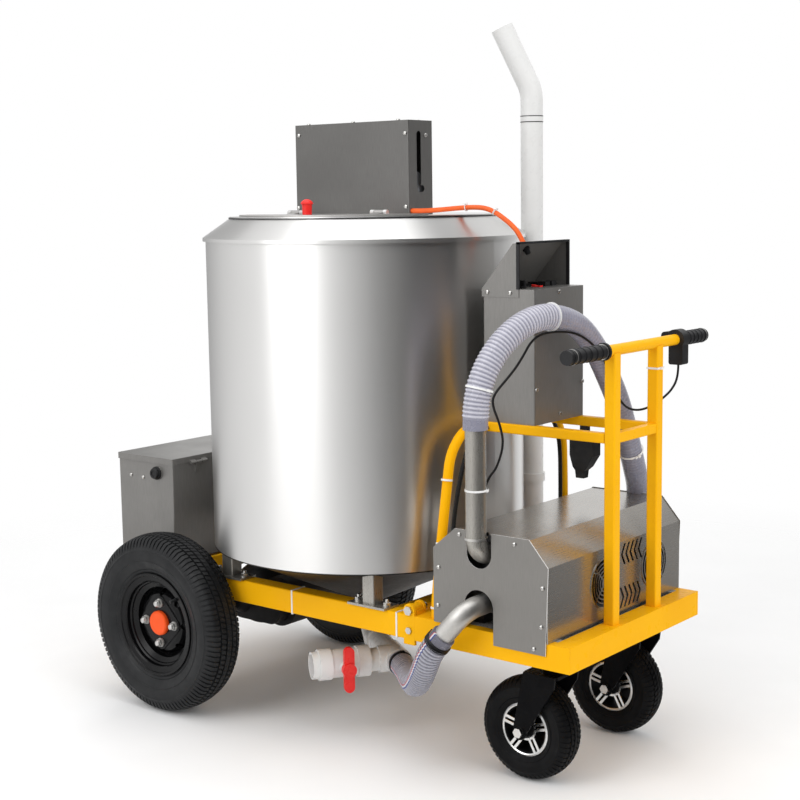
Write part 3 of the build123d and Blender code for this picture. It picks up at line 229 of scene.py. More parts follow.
def rolled_steel(name, light, dark, rough):
    """Polished rolled sheet, whose faint grain draws reflections out into upright bands."""
    m = Finish(name)
    grain = m.noise(40.0, 3.0, (6.0, 6.0, 0.25), 0.6)
    clouds = m.noise(2.2, 2.0)
    m.surface(m.ramp(clouds, (0.3, dark), (0.7, light)), m.span(grain, rough - 0.01, rough + 0.02), grain,
              0.002, 0.0002)
    around = m.first("ShaderNodeTangent", {"direction_type": "RADIAL", "axis": "Z"})
    return m.set(Metallic=1.0, Anisotropic=0.85, Anisotropic_Rotation=0.25, Tangent=around)


def moulded(name, colour, other, rough, grain=0.15, size=300.0, shine=0.3):
    """Moulded plastic or rubber: two close tones and a fine grain."""
    m = Finish(name)
    m.surface(m.ramp(m.noise(25.0, 5.0), (0.35, colour), (0.7, other)),
              m.span(m.noise(60.0, 4.0), rough - 0.07, rough + 0.1), m.noise(size, 3.0), grain, 0.0005)
    return m.set(Specular_IOR_Level=shine)


def clear_vinyl(name, dull, milk, crest):
    """Milky clear hose wall: paler on its ribs, with a red, a white and a blue line along it."""
    m = Finish(name)
    sine, cosine, _ = m.split(m.attribute("wrap", "Vector"))
    around = sine.math("ARCTAN2", cosine)
    wall = m.ramp(m.noise(14.0), (0.3, dull), (0.7, milk))
    tone = m.mix(m.attribute("crest"), wall, crest)
    for at, half, colour in ((LINES - 0.12, 0.045, (0.5, 0.03, 0.06)), (LINES, 0.075, (0.75, 0.75, 0.78)),
                             (LINES + 0.13, 0.055, (0.03, 0.05, 0.28))):
        tone = m.mix((around - at).size() < half, tone, colour)
    m.surface(tone, m.span(m.noise(40.0), 0.2, 0.32), m.noise(60.0, 2.0), 0.01, 0.0003)
    return m.set(Transmission_Weight=0.2, IOR=1.35, Coat_Weight=0.25, Coat_Roughness=0.12)


def two_tone(name, mask, plain, bright, rough, rough_bright):
    """Black enamel with bare metal where a mask of the place is one."""
    m = Finish(name)
    bare = mask(*m.split(m.place))
    tone = m.ramp(m.noise(25.0, 5.0), (0.35, plain), (0.7, tuple(1.4 * c for c in plain)))
    shine = m.ramp(m.noise(60.0, 4.0), (0.3, bright), (0.7, tuple(0.85 * c for c in bright)))
    m.surface(m.mix(bare, tone, shine),
              m.span(m.noise(40.0), 0.0, 0.08) + bare * (rough_bright - rough) + rough, m.noise(300.0), 0.05,
              0.0004, 0.001)
    return m.set(Metallic=bare, Specular_IOR_Level=0.04)


def axle_nut(x, y, z):
    return (y.size() - CASTER.y).size() > NUT_FACE


def spoke_face(x, y, z):
    """Machined faces of the caster's spokes and the lip of its rim."""
    depth = (y.size() - CASTER.y).size()
    across, along = (x - CASTER.x).math("POWER", 2.0), (z - CASTER.z).math("POWER", 2.0)
    reach = (across + along).math("SQRT")
    face = (depth - (reach - HUB_R) * SPOKE_RISE - SPOKE_FACE).size() < 0.0008
    lip = (depth > LIP_FACE) * (reach > LIP_FROM)
    return (face * (reach > HUB_R + 0.0004) + lip).math("MINIMUM", 1.0)


def capped_hub():
    """Black axle iron, with the orange dust cap outside the wheel disc."""
    m = Finish("capped_hub")
    cap = m.ramp(m.noise(25.0, 5.0), (0.35, (0.93, 0.1, 0.012)), (0.7, (0.88, 0.09, 0.01)))
    outside = m.split(m.place)[1].size() > CAP_FACE
    m.surface(m.mix(outside, (0.008, 0.008, 0.009), cap), m.span(m.noise(60.0, 4.0), 0.36, 0.5),
              m.noise(300.0), 0.1, 0.0005)
    return m.set(Specular_IOR_Level=0.2)


# Grain runs where the stretch is small
UPRIGHT_GRAIN, EVEN = (8.0, 8.0, 0.35), (1, 1, 1)
YELLOW, YELLOW_DARK = (0.97, 0.475, 0.002), (0.93, 0.43, 0.002)
YELLOW_EDGE = (0.97, 0.54, 0.02)
yellow = painted("yellow_enamel", YELLOW, YELLOW_DARK, YELLOW_EDGE, 0.3, 0.06)
platform_yellow = painted("platform_enamel", YELLOW, YELLOW_DARK, YELLOW_EDGE, 0.3, 0.06, 0.2, True)
black_paint = painted("black_enamel", (0.004, 0.004, 0.0045), (0.0025, 0.0025, 0.003), (0.012, 0.012, 0.012),
                      0.2, 0.2)
axle_paint = painted("axle_black", (0.012, 0.012, 0.013), (0.007, 0.007, 0.008), (0.05, 0.045, 0.04), 0.5)
motor_paint = painted("motor_grey", (0.2, 0.21, 0.22), (0.14, 0.15, 0.16), (0.35, 0.35, 0.36), 0.45)
tank_steel = rolled_steel("polished_stainless", (0.76, 0.755, 0.745), (0.73, 0.725, 0.715), 0.36)
# Painted shade: rough steel for the cone under the tank, painted near black for the shade beneath the tank
cone_shade_steel = steel("dull_underside", (0.06, 0.058, 0.055), (0.035, 0.034, 0.033), 0.45, EVEN, 0.1)
sheet_steel = steel("brushed_sheet", (0.27, 0.262, 0.25), (0.2, 0.194, 0.185), 0.36, UPRIGHT_GRAIN,
                    metal=0.55)
# End plates with painted highlights: their edge faces are painted near white
plate_steel = steel("cut_plate", (0.26, 0.25, 0.235), (0.2, 0.192, 0.18), 0.4, UPRIGHT_GRAIN, smears=0.0,
                    edge=0.0, metal=0.55, smoke=1.0, painted_edge_highlight=(0.95, 0.945, 0.935))
cover_steel = steel("brushed_cover", (0.46, 0.44, 0.41), (0.42, 0.4, 0.37), 0.24, (8.0, 0.12, 8.0), 0.004,
                    0.03, metal=0.85, clouded=0.25)
pipe_steel = steel("pipe_steel", (0.46, 0.44, 0.4), (0.32, 0.305, 0.28), 0.28, (6.0, 6.0, 0.4), metal=0.75)
box_steel = steel("brushed_box", (0.17, 0.166, 0.16), (0.115, 0.112, 0.107), 0.36, UPRIGHT_GRAIN, metal=0.45)
lid_steel = steel("brushed_lid", (0.5, 0.49, 0.475), (0.42, 0.41, 0.4), 0.34, (0.35, 8.0, 8.0), 0.03,
                  metal=0.8)
# Painted light: satin steel painted much lighter than the pipe steel, for the inlet elbow's brightly lit
# look; the riser's weld bead uses it too
lit_satin_steel = steel("satin_elbow", (0.68, 0.665, 0.64), (0.56, 0.545, 0.52), 0.46, (2, 2, 2), 0.08)
zinc = steel("zinc_plate", (0.72, 0.71, 0.69), (0.55, 0.54, 0.52), 0.28, EVEN, 0.08, edge=0.0)
iron = steel("pump_iron", (0.3, 0.3, 0.31), (0.2, 0.2, 0.21), 0.45, EVEN, 0.2)
tyre_rubber = moulded("tyre_rubber", (0.01, 0.0105, 0.0115), (0.016, 0.0165, 0.0175), 0.45, 0.1, 400.0, 0.22)
small_rubber = moulded("small_tyre_rubber", (0.004, 0.004, 0.0045), (0.007, 0.007, 0.0075), 0.5, 0.1, 400.0,
                       0.1)
grip_rubber = moulded("grip_rubber", (0.01, 0.01, 0.011), (0.016, 0.016, 0.018), 0.45, 0.3, 500.0)
black_plastic = moulded("black_plastic", (0.008, 0.008, 0.009), (0.014, 0.014, 0.015), 0.4, 0.12)
red_plastic = moulded("red_plastic", (0.88, 0.028, 0.022), (0.8, 0.02, 0.018), 0.3, 0.05)
white_pvc = moulded("white_pvc", (0.76, 0.76, 0.75), (0.74, 0.74, 0.73), 0.3, 0.01)
nylon = moulded("nylon_white", (0.85, 0.85, 0.84), (0.78, 0.78, 0.77), 0.35, 0.05)
lead_orange = moulded("orange_sheath", (0.88, 0.14, 0.02), (0.8, 0.11, 0.015), 0.42, 0.1)
hose_clear = clear_vinyl("clear_vinyl", (0.25, 0.25, 0.32), (0.33, 0.33, 0.41), (0.72, 0.71, 0.79))
# The suction hose's vinyl: the same clear vinyl in darker tones
darker_vinyl_hose = clear_vinyl("clouded_vinyl", (0.13, 0.13, 0.165), (0.19, 0.19, 0.235), (0.5, 0.5, 0.57))
hub_finish = capped_hub()
fork_finish = two_tone("caster_fork", axle_nut, (0.004, 0.004, 0.0045), (0.75, 0.74, 0.72), 0.24, 0.26)
rim_finish = two_tone("caster_rim", spoke_face, (0.005, 0.005, 0.0055), (0.78, 0.78, 0.77), 0.4, 0.24)

finishes = {
    yellow: "left_rail right_rail cross_members handle_posts handlebar shelf_frame stay_tubes",
    platform_yellow: "platform_frame",
    tank_steel: "tank_shell tank_top",
    cone_shade_steel: "tank_cone",
    sheet_steel: "battery_box battery_lid control_box control_hood",
    box_steel: "motor_cover",
    lid_steel: "hatch_lid",
    plate_steel: "cover_end_plates",
    cover_steel: "pump_cover",
    pipe_steel: "riser_pipe agitator tank_legs",
    lit_satin_steel: "inlet_elbow",
    zinc: "coupling_pins fan_guards",
    axle_paint: "drive_axle",
    hub_finish: "left_hub right_hub",
    motor_paint: "agitator_gearmotor pump_motor",
    iron: "pump_body drive_rotor idler_rotor",
    black_paint: "left_rim right_rim",
    fork_finish: "left_caster_fork right_caster_fork",
    rim_finish: "left_caster_rim right_caster_rim",
    tyre_rubber: "left_tyre right_tyre left_caster_tyre right_caster_tyre",
    grip_rubber: "left_grip throttle_grip",
    black_plastic: "throttle_housing left_fan right_fan mode_knob batteries",
    red_plastic: "hatch_knob rocker_switch valve_lever",
    white_pvc: "outlet_pipe valve_body standpipe spout",
    hose_clear: "delivery_hose",
    darker_vinyl_hose: "suction_hose",
    lead_orange: "wiring",
}
for material, names in finishes.items():
    for name in names.split():
        nodes[name].data.materials.clear()
        nodes[name].data.materials.append(material)


# Pieces
def seat(name, mesh, material, body="chassis", sharp=38):
    """Turns a finished mesh into a piece that rides on a body."""
    piece = bpy.data.objects.new(name, mesh)
    scene.collection.objects.link(piece)
    if not mesh.materials:
        mesh.materials.append(material)
    bm = bmesh.new()
    bm.from_mesh(mesh)
    bmesh.ops.recalc_face_normals(bm, faces=bm.faces)
    bm.to_mesh(mesh)
    bm.free()
    mesh.shade_smooth()
    mesh.set_sharp_from_angle(angle=radians(sharp))
    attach(piece, body)
    return piece


def enabled(sockets, name=None):
    """The socket in use, on a node that has one for each type of data."""
    return next(s for s in sockets if s.enabled and name in (None, s.name))


class Growth(Graph):
    """A Geometry Nodes tree with named inputs, ending in Realize Instances and Set Material."""

    def __init__(self, name, **inputs):
        super().__init__(bpy.data.node_groups.new(name, "GeometryNodeTree"))
        face = self.tree.interface
        face.new_socket("Geometry", in_out="INPUT", socket_type="NodeSocketGeometry")
        self.names = {}
        kinds = {int: "Int", float: "Float", type(None): "Material"}
        for key, value in inputs.items():
            socket = face.new_socket(key.replace("_", " "), in_out="INPUT",
                                     socket_type="NodeSocket" + kinds[type(value)])
            if value is not None:
                socket.default_value = value
            self.names[key] = socket.identifier
        face.new_socket("Geometry", in_out="OUTPUT", socket_type="NodeSocketGeometry")
        source = self.node("NodeGroupInput").outputs
        self.source = source[0]
        self.inputs = {key: Field(self, source[key.replace("_", " ")]) for key in inputs}

    def sizes(self):
        """The inputs in order, without the material, which is the last."""
        return list(self.inputs.values())[:-1]

    def geo(self, kind, settings=None, **sockets):
        """First output of a new geometry node."""
        return self.first("GeometryNode" + kind, settings, **sockets)

    def attribute(self, name, kind="FLOAT_VECTOR"):
        node = self.node("GeometryNodeInputNamedAttribute", {"data_type": kind}, Name=name)
        return enabled(node.outputs)

    def store(self, geometry, name, kind, value):
        node = self.node("GeometryNodeStoreNamedAttribute", {"data_type": kind}, Geometry=geometry, Name=name)
        self.feed(enabled(node.inputs, "Value"), value)
        return node.outputs[0]

    def position(self):
        return self.geo("InputPosition")

    def join_parts(self, *parts):
        joined = self.node("GeometryNodeJoinGeometry")
        for part in parts:
            self.tree.links.new(part, joined.inputs[0])
        return joined.outputs[0]

    def close(self, *parts):
        real = self.geo("RealizeInstances", Geometry=self.join_parts(*parts))
        welded = self.geo("MergeByDistance", Geometry=real, Distance=WELD)
        done = self.geo("SetMaterial", Geometry=welded, Material=self.inputs["Material"])
        self.tree.links.new(done, self.node("NodeGroupOutput").inputs[0])

    def grow(self, name, data, material, **inputs):
        """Mesh that the tree makes of a mesh or curve."""
        holder = bpy.data.objects.new(name + "_seed", data)
        scene.collection.objects.link(holder)
        modifier = holder.modifiers.new("growth", "NODES")
        modifier.node_group = self.tree
        modifier[self.names["Material"]] = material
        for key, value in inputs.items():
            modifier[self.names[key]] = value
        graph = bpy.context.evaluated_depsgraph_get()
        mesh = bpy.data.meshes.new_from_object(holder.evaluated_get(graph))
        mesh.name = name
        holder.modifiers.remove(modifier)
        bpy.data.objects.remove(holder)
        for key in [a.name for a in mesh.attributes if a.name in ("axis", "facing", "reach")]:
            mesh.attributes.remove(mesh.attributes[key])
        return mesh


def seeds(name, spots):
    """Points with the axis, facing and reach that the trees read."""
    mesh = bpy.data.meshes.new(name)
    spots = [spot if len(spot) == 4 else (*spot, FRONT, 0.0) for spot in spots]
    places, axes, facings, reaches = zip(*spots)
    mesh.from_pydata(places, [], [])
    for key, vectors in (("axis", axes), ("facing", facings)):
        values = mesh.attributes.new(key, "FLOAT_VECTOR", "POINT").data
        for value, vector in zip(values, vectors):
            value.vector = Vector(vector).normalized()
    mesh.attributes.new("reach", "FLOAT", "POINT").data.foreach_set("value", reaches)
    return mesh


def plant(name, tree, spots, material, body="chassis", **sizes):
    """Piece that a tree grows on a list of spots."""
    seat(name, tree.grow(name, seeds(name + "_spots", spots), material, **sizes), material, body, 30)


def upright(g):
    """Rotation that stands an instance along its seed's axis, facing its seed's facing."""
    align = "FunctionNodeAlignRotationToVector"
    stand = g.first(align, {"axis": "Z"}, Vector=g.attribute("axis"))
    return g.first(align, {"axis": "X", "pivot_axis": "Z"}, Rotation=stand,
                   Vector=g.attribute("facing"))


def turned(g, profile, sides, radius, height):
    """Closed turned form: profile is (height share, radius share) steps up from its seat."""
    base = g.geo("MeshCircle", {"fill_type": "NGON"}, Vertices=sides, Radius=radius * profile[0][1])
    rise = g.join(0.0, 0.0, 1.0)
    mesh, top = base, None
    for (z0, r0), (z1, r1) in zip(profile, profile[1:]):
        step = g.node("GeometryNodeExtrudeMesh", Mesh=mesh, Offset=rise, Offset_Scale=height * (z1 - z0),
                      Individual=False)
        if top is not None:
            g.feed(step.inputs["Selection"], top)
        top = step.outputs["Top"]
        mesh = g.geo("ScaleElements", Geometry=step.outputs["Mesh"], Selection=top, Scale=r1 / r0)
    return g.geo("MergeByDistance", Geometry=g.join_parts(mesh, base), Distance=WELD)


def fastener(name, *stages):
    """Tree that sets a fastener on every seed; a stage is a turned form and its number of sides."""
    g = Growth(name, Head_radius=0.0055, Head_height=0.0042, Material=None)
    sizes = g.sizes()
    forms = g.join_parts(*(turned(g, profile, sides, *sizes) for profile, sides in stages))
    g.close(g.geo("InstanceOnPoints", Points=g.source, Instance=forms, Rotation=upright(g)))
    return g


# Hoses and leads, whose routes repeat the CAD's points
delivery_route = [
    (0.55, -0.332, 0.889), (0.55, -0.332, 0.965), (0.566, -0.292, 1.06), (0.59, -0.215, 1.128),
    (0.61, -0.12, 1.152), (0.627, -0.01, 1.128), (0.637, 0.066, 1.062), (0.643, 0.118, 0.985),
    (0.646, 0.172, 0.905), (0.644, 0.214, 0.822), (0.632, 0.274, 0.73), (0.612, 0.34, 0.645),
    (0.578, 0.388, 0.56), (0.52, 0.404, 0.486), (0.45, 0.392, 0.432), (0.388, 0.378, 0.408),
    (0.318, 0.378, 0.408)]
elbow_corner = Vector((0.55, -0.376, 0.454))
suction_top = Vector((0.49, -0.385, 0.384))
run_end = TEE + RUN * 0.045
suction_route = [
    suction_top, suction_top + (suction_top - elbow_corner).normalized() * 0.058, (0.423, -0.376, 0.288),
    (0.38, -0.345, 0.238), (0.33, -0.299, 0.203), (0.274, -0.243, 0.19), run_end + RUN * 0.056, run_end]
motor_route = [
    (0.132, -0.038, 1.4055), (0.172, -0.038, 1.405), (0.226, -0.0345, 1.4077), (0.282, -0.0305, 1.412),
    (0.331, -0.0265, 1.414), (0.363, -0.024, 1.4114), (0.39, -0.022, 1.402), (0.416, -0.02, 1.386),
    (0.442, -0.018, 1.3675), HOOD_ENTRY - LEAD_DROP * 0.04, HOOD_ENTRY + LEAD_DROP * 0.012]
throttle_route = [
    (0.781, 0.242, 1.005), (0.781, 0.242, 0.972), (0.774, 0.222, 0.94), (0.762, 0.19, 0.918),
    (0.748, 0.16, 0.902), (0.728, 0.136, 0.893), (0.704, 0.122, 0.897), (0.685, 0.116, 0.915),
    (0.675, 0.108, 0.942), (0.671, 0.09, 0.982), (0.667, 0.048, 1.049), (0.648, -0.026, 1.1015),
    (0.624, -0.102, 1.1105), (0.606, -0.165, 1.102), (0.6, -0.215, 1.044), (0.596, -0.257, 1.0115),
    (0.59, -0.311, 0.975), (0.588, -0.316, 0.95), (0.587, -0.282, 0.8975), (0.58, -0.256, 0.846),
    (0.572, -0.275, 0.7895), (0.556, -0.281, 0.77), (0.548, -0.29, 0.745), (0.548, -0.299, 0.715),
    (0.552, -0.3033, 0.68), (0.552, -0.3033, 0.628)]
left_conduit_route = [
    (0.376, -0.238, 0.391), (0.376, -0.238, 0.42), (0.392, -0.234, 0.47), (0.397, -0.226, 0.56),
    (0.397, -0.212, 0.66), (0.401, -0.183, 0.76), (0.411, -0.164, 0.829), (0.418, -0.1345, 0.852),
    (0.418, -0.097, 0.852)]
right_conduit_route = [
    (0.376, 0.262, 0.391), (0.376, 0.262, 0.42), (0.394, 0.268, 0.47), (0.402, 0.272, 0.56),
    (0.402, 0.272, 0.66), (0.402, 0.27, 0.745), (0.406, 0.252, 0.792), (0.414, 0.222, 0.826),
    (0.424, 0.186, 0.851), (0.424, 0.141, 0.851)]


def route_curve(name, route):
    """NURBS line with a route as its control points."""
    curve = bpy.data.curves.new(name, "CURVE")
    curve.dimensions = "3D"
    line = curve.splines.new("NURBS")
    line.points.add(len(route) - 1)
    for point, at in zip(line.points, route):
        point.co = (*at, 1)
    line.order_u = 3
    line.use_endpoint_u = True
    line.resolution_u = 24
    return curve


def line_points(curve):
    holder = bpy.data.objects.new("line", curve)
    mesh = bpy.data.meshes.new_from_object(holder)
    points = [v.co.copy() for v in mesh.vertices]
    bpy.data.objects.remove(holder)
    bpy.data.meshes.remove(mesh)
    return points


def line_length(points):
    return sum((b - a).length for a, b in zip(points, points[1:]))


def cord_tree():
    """Round tube along a line, with rings that swell its wall at an even pitch."""
    g = Growth("corded_tube", Radius=0.0308, Rib_rise=0.0022, Rib_pitch=0.0096, Plain_end=0.026,
               Step=0.0016, Sides=36, Smooth_from=9.0, Material=None)
    radius, rise, pitch, plain, step, sides, smooth = g.sizes()
    line = g.geo("ResampleCurve", {"mode": "LENGTH"}, Curve=g.source, Length=step)
    total = Field(g, g.geo("SplineLength"))
    along = Field(g, g.node("GeometryNodeSplineParameter").outputs["Length"])
    ribbed = (along > plain) * (along < total - plain)
    even = along > smooth
    swell = ((along / pitch * tau).math("COSINE") * -0.5 + 0.5) * ribbed * (even * -0.85 + 1.0)
    line = g.store(line, "crest", "FLOAT", swell)
    ring = g.geo("CurvePrimitiveCircle", Resolution=sides, Radius=radius)
    ring = g.store(ring, "wrap", "FLOAT_VECTOR", g.position())
    g.close(g.geo("CurveToMesh", Curve=line, Profile_Curve=ring, Scale=swell * rise / radius + 1.0,
                  Fill_Caps=True))
    return g


corded_tube = cord_tree()


def cord(name, node, route, material, stiffness, lay, **sizes):
    """Cord, lead or hose along its route, which stands for its CAD solid."""
    curve = route_curve(name + "_line", route)
    points = line_points(curve)
    piece = seat(name, corded_tube.grow(name, curve, material, **sizes), material)
    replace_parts(piece, node)
    return points


hose_sizes = {"Radius": 0.0308, "Rib_rise": 0.0022}
conduit_sizes = {"Radius": 0.0053, "Rib_rise": 0.0007, "Rib_pitch": 0.0036, "Plain_end": 0.004,
                 "Step": 0.0009, "Sides": 16}
delivery_line = cord("clear_delivery_hose", "delivery_hose", delivery_route, hose_clear, "stiff", "hanging",
                     Smooth_from=0.4, **hose_sizes)
suction_line = cord("clear_suction_hose", "suction_hose", suction_route, darker_vinyl_hose, "stiff", "hanging",
                    **hose_sizes)
motor_line = cord("orange_motor_lead", "wiring", motor_route, lead_orange, "medium", "loose", Radius=0.0065,
                  Rib_rise=0.0, Step=0.006, Sides=18)
cord("throttle_lead", "wiring", throttle_route, black_plastic, "medium", "loose", Radius=0.003, Rib_rise=0.0,
     Step=0.004, Sides=12)
cord("left_conduit", "wiring", left_conduit_route, black_plastic, "stiff", "loose", **conduit_sizes)
cord("right_conduit", "wiring", right_conduit_route, black_plastic, "stiff", "loose", **conduit_sizes)


# Tyres, swept round the axle from a section, with lugs and sipes cut by rule
def tread_tree():
    g = Growth("cut_tread", Lugs=62, Tread_half=0.046, Outer_radius=0.255, Groove=0.0065, Shoulder=0.022,
               Hand=1.0, Centre_X=0.0, Centre_Y=0.0, Centre_Z=0.0, Material=None)
    lugs, half, outer, groove, shoulder, hand, *centre = g.sizes()
    rows = g.node("GeometryNodeAttributeDomainSize", Geometry=g.source).outputs["Point Count"]
    rows = Field(g, rows)
    steps = lugs * 6.0
    grid = g.geo("MeshGrid", Size_X=1.0, Size_Y=1.0, Vertices_X=steps + 1.0, Vertices_Y=rows + 1.0)
    grid_x, grid_y, _ = g.split(g.position())
    column = ((grid_x + 0.5) * steps).math("ROUND")
    row = ((grid_y + 0.5) * rows).math("ROUND").math("MODULO", rows)
    sample = g.node("GeometryNodeSampleIndex", {"data_type": "FLOAT_VECTOR", "domain": "POINT"},
                    Geometry=g.source, Index=row)
    g.feed(enabled(sample.inputs, "Value"), g.position())
    _, across, reach = g.split(enabled(sample.outputs))
    share = across.size() / half
    beat = (column / 6.0).math("FRACT") * 6.0
    gap = (beat > 0.5) * (beat < 2.5)
    outside = ((reach - outer + shoulder) / shoulder * 2.5).math("MINIMUM", 1.0)
    lug_gap = gap * (share > 0.685) * outside.math("MAXIMUM", 0.0) * 0.8
    rib_gap = gap * (share > 0.27) * (share < 0.575) * 0.75
    sipe = gap * (share < 0.16) * 0.3
    cut = (lug_gap + rib_gap + sipe) * groove * (reach > outer * 0.84)
    # Each cut goes in towards the section's own middle, as deep on the shoulder as on the tread
    from_middle = reach - outer * 0.83
    span = (from_middle * from_middle + across * across).math("SQRT") + 0.0001
    radius = reach - cut * from_middle / span
    # Columns crowd at the two walls of every gap and slant across the tread, for clean cuts
    within = (beat > 0.5) * 0.05
    for step, share_on in ((1.5, 0.25), (2.5, 0.05), (3.5, 0.22), (4.5, 0.22)):
        within = within + (beat > step) * share_on
    slant = across * hand / half * ((share < 0.6) * 0.9 + 0.35)
    angle = ((column / 6.0).math("FLOOR") + within + slant) / lugs * tau
    place = g.join(radius * angle.math("COSINE") + centre[0], across - cut * across / span + centre[1],
                   radius * angle.math("SINE") + centre[2])
    g.close(g.geo("SetPosition", Geometry=grid, Position=place))
    return g


cut_tread = tread_tree()
# Rows of points across half a tread, as shares of its half width, and those down in a groove
ROWS = (0.97, 0.88, 0.78, 0.69, 0.68, 0.672, 0.588, 0.58, 0.57, 0.48, 0.37, 0.28, 0.266, 0.258, 0.174, 0.166,
        0.155, 0.06)
GROOVED = (0.672, 0.588, 0.258, 0.174)
WALL_THICK, CROWN_THICK = 0.009, 0.016


def tyre(name, node, body, centre, hand, rubber, wall, radius, crown, half, groove, lugs, shoulder):
    """Tyre that stands for the plainer CAD one; wall is its (half width, radius) points."""
    tread = [(half * a, radius - crown * a * a - groove * (a in GROOVED)) for a in ROWS]
    outside = wall + tread
    outside += [(-a, r) for a, r in reversed(tread)] + [(-a, r) for a, r in reversed(wall)]
    bead, foot = wall[0]
    inner = [(bead - WALL_THICK, foot), (0.8 * half, radius * 0.8), (0.6 * half, radius - CROWN_THICK)]
    loop = outside + [(-a, r) for a, r in inner] + list(reversed(inner))
    section = bpy.data.meshes.new(name + "_section")
    section.from_pydata([(0, a, r) for a, r in loop], [], [])
    mesh = cut_tread.grow(name, section, rubber, Lugs=lugs, Tread_half=half, Outer_radius=radius,
                          Groove=groove, Shoulder=shoulder, Hand=float(hand), Centre_X=centre.x,
                          Centre_Y=centre.y, Centre_Z=centre.z)
    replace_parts(seat(name, mesh, rubber, body), node)


road_sizes = {
    "radius": 0.255, "crown": 0.0085, "half": 0.046, "groove": 0.0048, "lugs": 104, "shoulder": 0.034,
    "wall": [(0.0405, 0.1284), (0.0432, 0.147), (0.0465, 0.151), (0.0495, 0.156), (0.0478, 0.1585),
             (0.0535, 0.166), (0.0575, 0.178), (0.0588, 0.180), (0.0596, 0.183), (0.0583, 0.1845),
             (0.0602, 0.194), (0.0608, 0.204), (0.0602, 0.2125), (0.0611, 0.2135), (0.061, 0.216),
             (0.0596, 0.2175), (0.0586, 0.222), (0.0575, 0.226), (0.0555, 0.232), (0.0522, 0.238),
             (0.0493, 0.2425)],
}
caster_sizes = {
    "radius": 0.131, "crown": 0.0065, "half": 0.031, "groove": 0.0025, "lugs": 56, "shoulder": 0.02,
    "wall": [(0.032, 0.0686), (0.037, 0.076), (0.0395, 0.081), (0.0382, 0.0825), (0.0412, 0.089),
             (0.0424, 0.098), (0.0415, 0.106), (0.0424, 0.1075), (0.0405, 0.1105), (0.0378, 0.116),
             (0.0345, 0.1205)],
}
for side, sign in SIDES:
    tyre(f"{side}_road_tyre", f"{side}_tyre", f"{side}_wheel", AXLE + Vector((0, sign * WHEEL_Y, 0)), sign,
         tyre_rubber, **road_sizes)
    tyre(f"{side}_small_tyre", f"{side}_caster_tyre", f"{side}_caster_wheel",
         Vector((CASTER.x, sign * CASTER.y, CASTER.z)), sign, small_rubber, **caster_sizes)

# Fasteners
pan_screw = fastener("pan_screw", ([(0, 1), (0.45, 1), (0.8, 0.84), (1, 0.46), (0.65, 0.38)], 14))
stud_nut = fastener("stud_nut", ([(0, 1.2), (0.11, 1.2)], 22), ([(0.1, 1), (0.55, 1), (0.62, 0.86)], 6),
                    ([(0.1, 0.53), (0.94, 0.53), (1, 0.43)], 14))
acorn_nut = fastener("acorn_nut", ([(0, 1.22), (0.14, 1.14)], 20), ([(0.1, 1), (0.62, 1), (0.68, 0.86)], 6),
                     ([(0.1, 0.82), (0.82, 0.78), (0.93, 0.62), (1, 0.28)], 16))


def both_sides(left_y, right_y, *spots):
    """Screw spots (x, z) on the left and right sides of a box."""
    return [spot for x, z in spots for spot in (((x, left_y, z), LEFT), ((x, right_y, z), RIGHT))]


# Motor box, control box, pump cover, battery box
screws = both_sides(-0.05, 0.054, (-0.259, 1.617), (0.122, 1.61), (0.122, 1.417), (-0.266, 1.416))
screws += [((x, y, 1.645), TOP) for x in (-0.229, -0.066, 0.092) for y in (-0.041, 0.045)]
screws += [((0.133, 0.023, 1.606), FRONT), ((-0.274, 0.023, 1.606), REAR), ((-0.274, 0.023, 1.42), REAR)]
screws += [((0.558, y, z), FRONT)
           for y, z in ((0.023, 1.199), (0.134, 0.958), (-0.08, 0.958), (0.028, 0.885))]
screws += both_sides(-0.0897, 0.1427, (0.415, 1.2), (0.485, 1.2))
screws += both_sides(-0.322, 0.322, (0.492, 0.624), (0.427, 0.532), (0.424, 0.435), (0.655, 0.621),
                     (0.735, 0.526), (0.731, 0.431), (0.71, 0.374))
screws += both_sides(-0.29, 0.29, (-0.746, 0.635), (-0.693, 0.633), (-0.746, 0.42), (-0.6, 0.42))
plant("panel_screws", pan_screw, screws, zinc)

bolts = [((x + off, y, 0.397), TOP)
         for x in (-0.325, 0.191) for y in (-0.297, 0.297) for off in (-0.048, 0.048)]
plant("leg_bolts", stud_nut, bolts, zinc, Head_radius=0.0104, Head_height=0.0195)

STUDS, STUD_Y = 0.0575, 0.421
for side, sign in SIDES:
    spots = [((AXLE.x + x, sign * STUD_Y, AXLE.z + z), (0, sign, 0))
             for x, z in ((STUDS, 0), (0, STUDS), (-STUDS, 0), (0, -STUDS))]
    plant(f"{side}_lug_nuts", acorn_nut, spots, zinc, f"{side}_wheel", Head_radius=0.011, Head_height=0.0215)


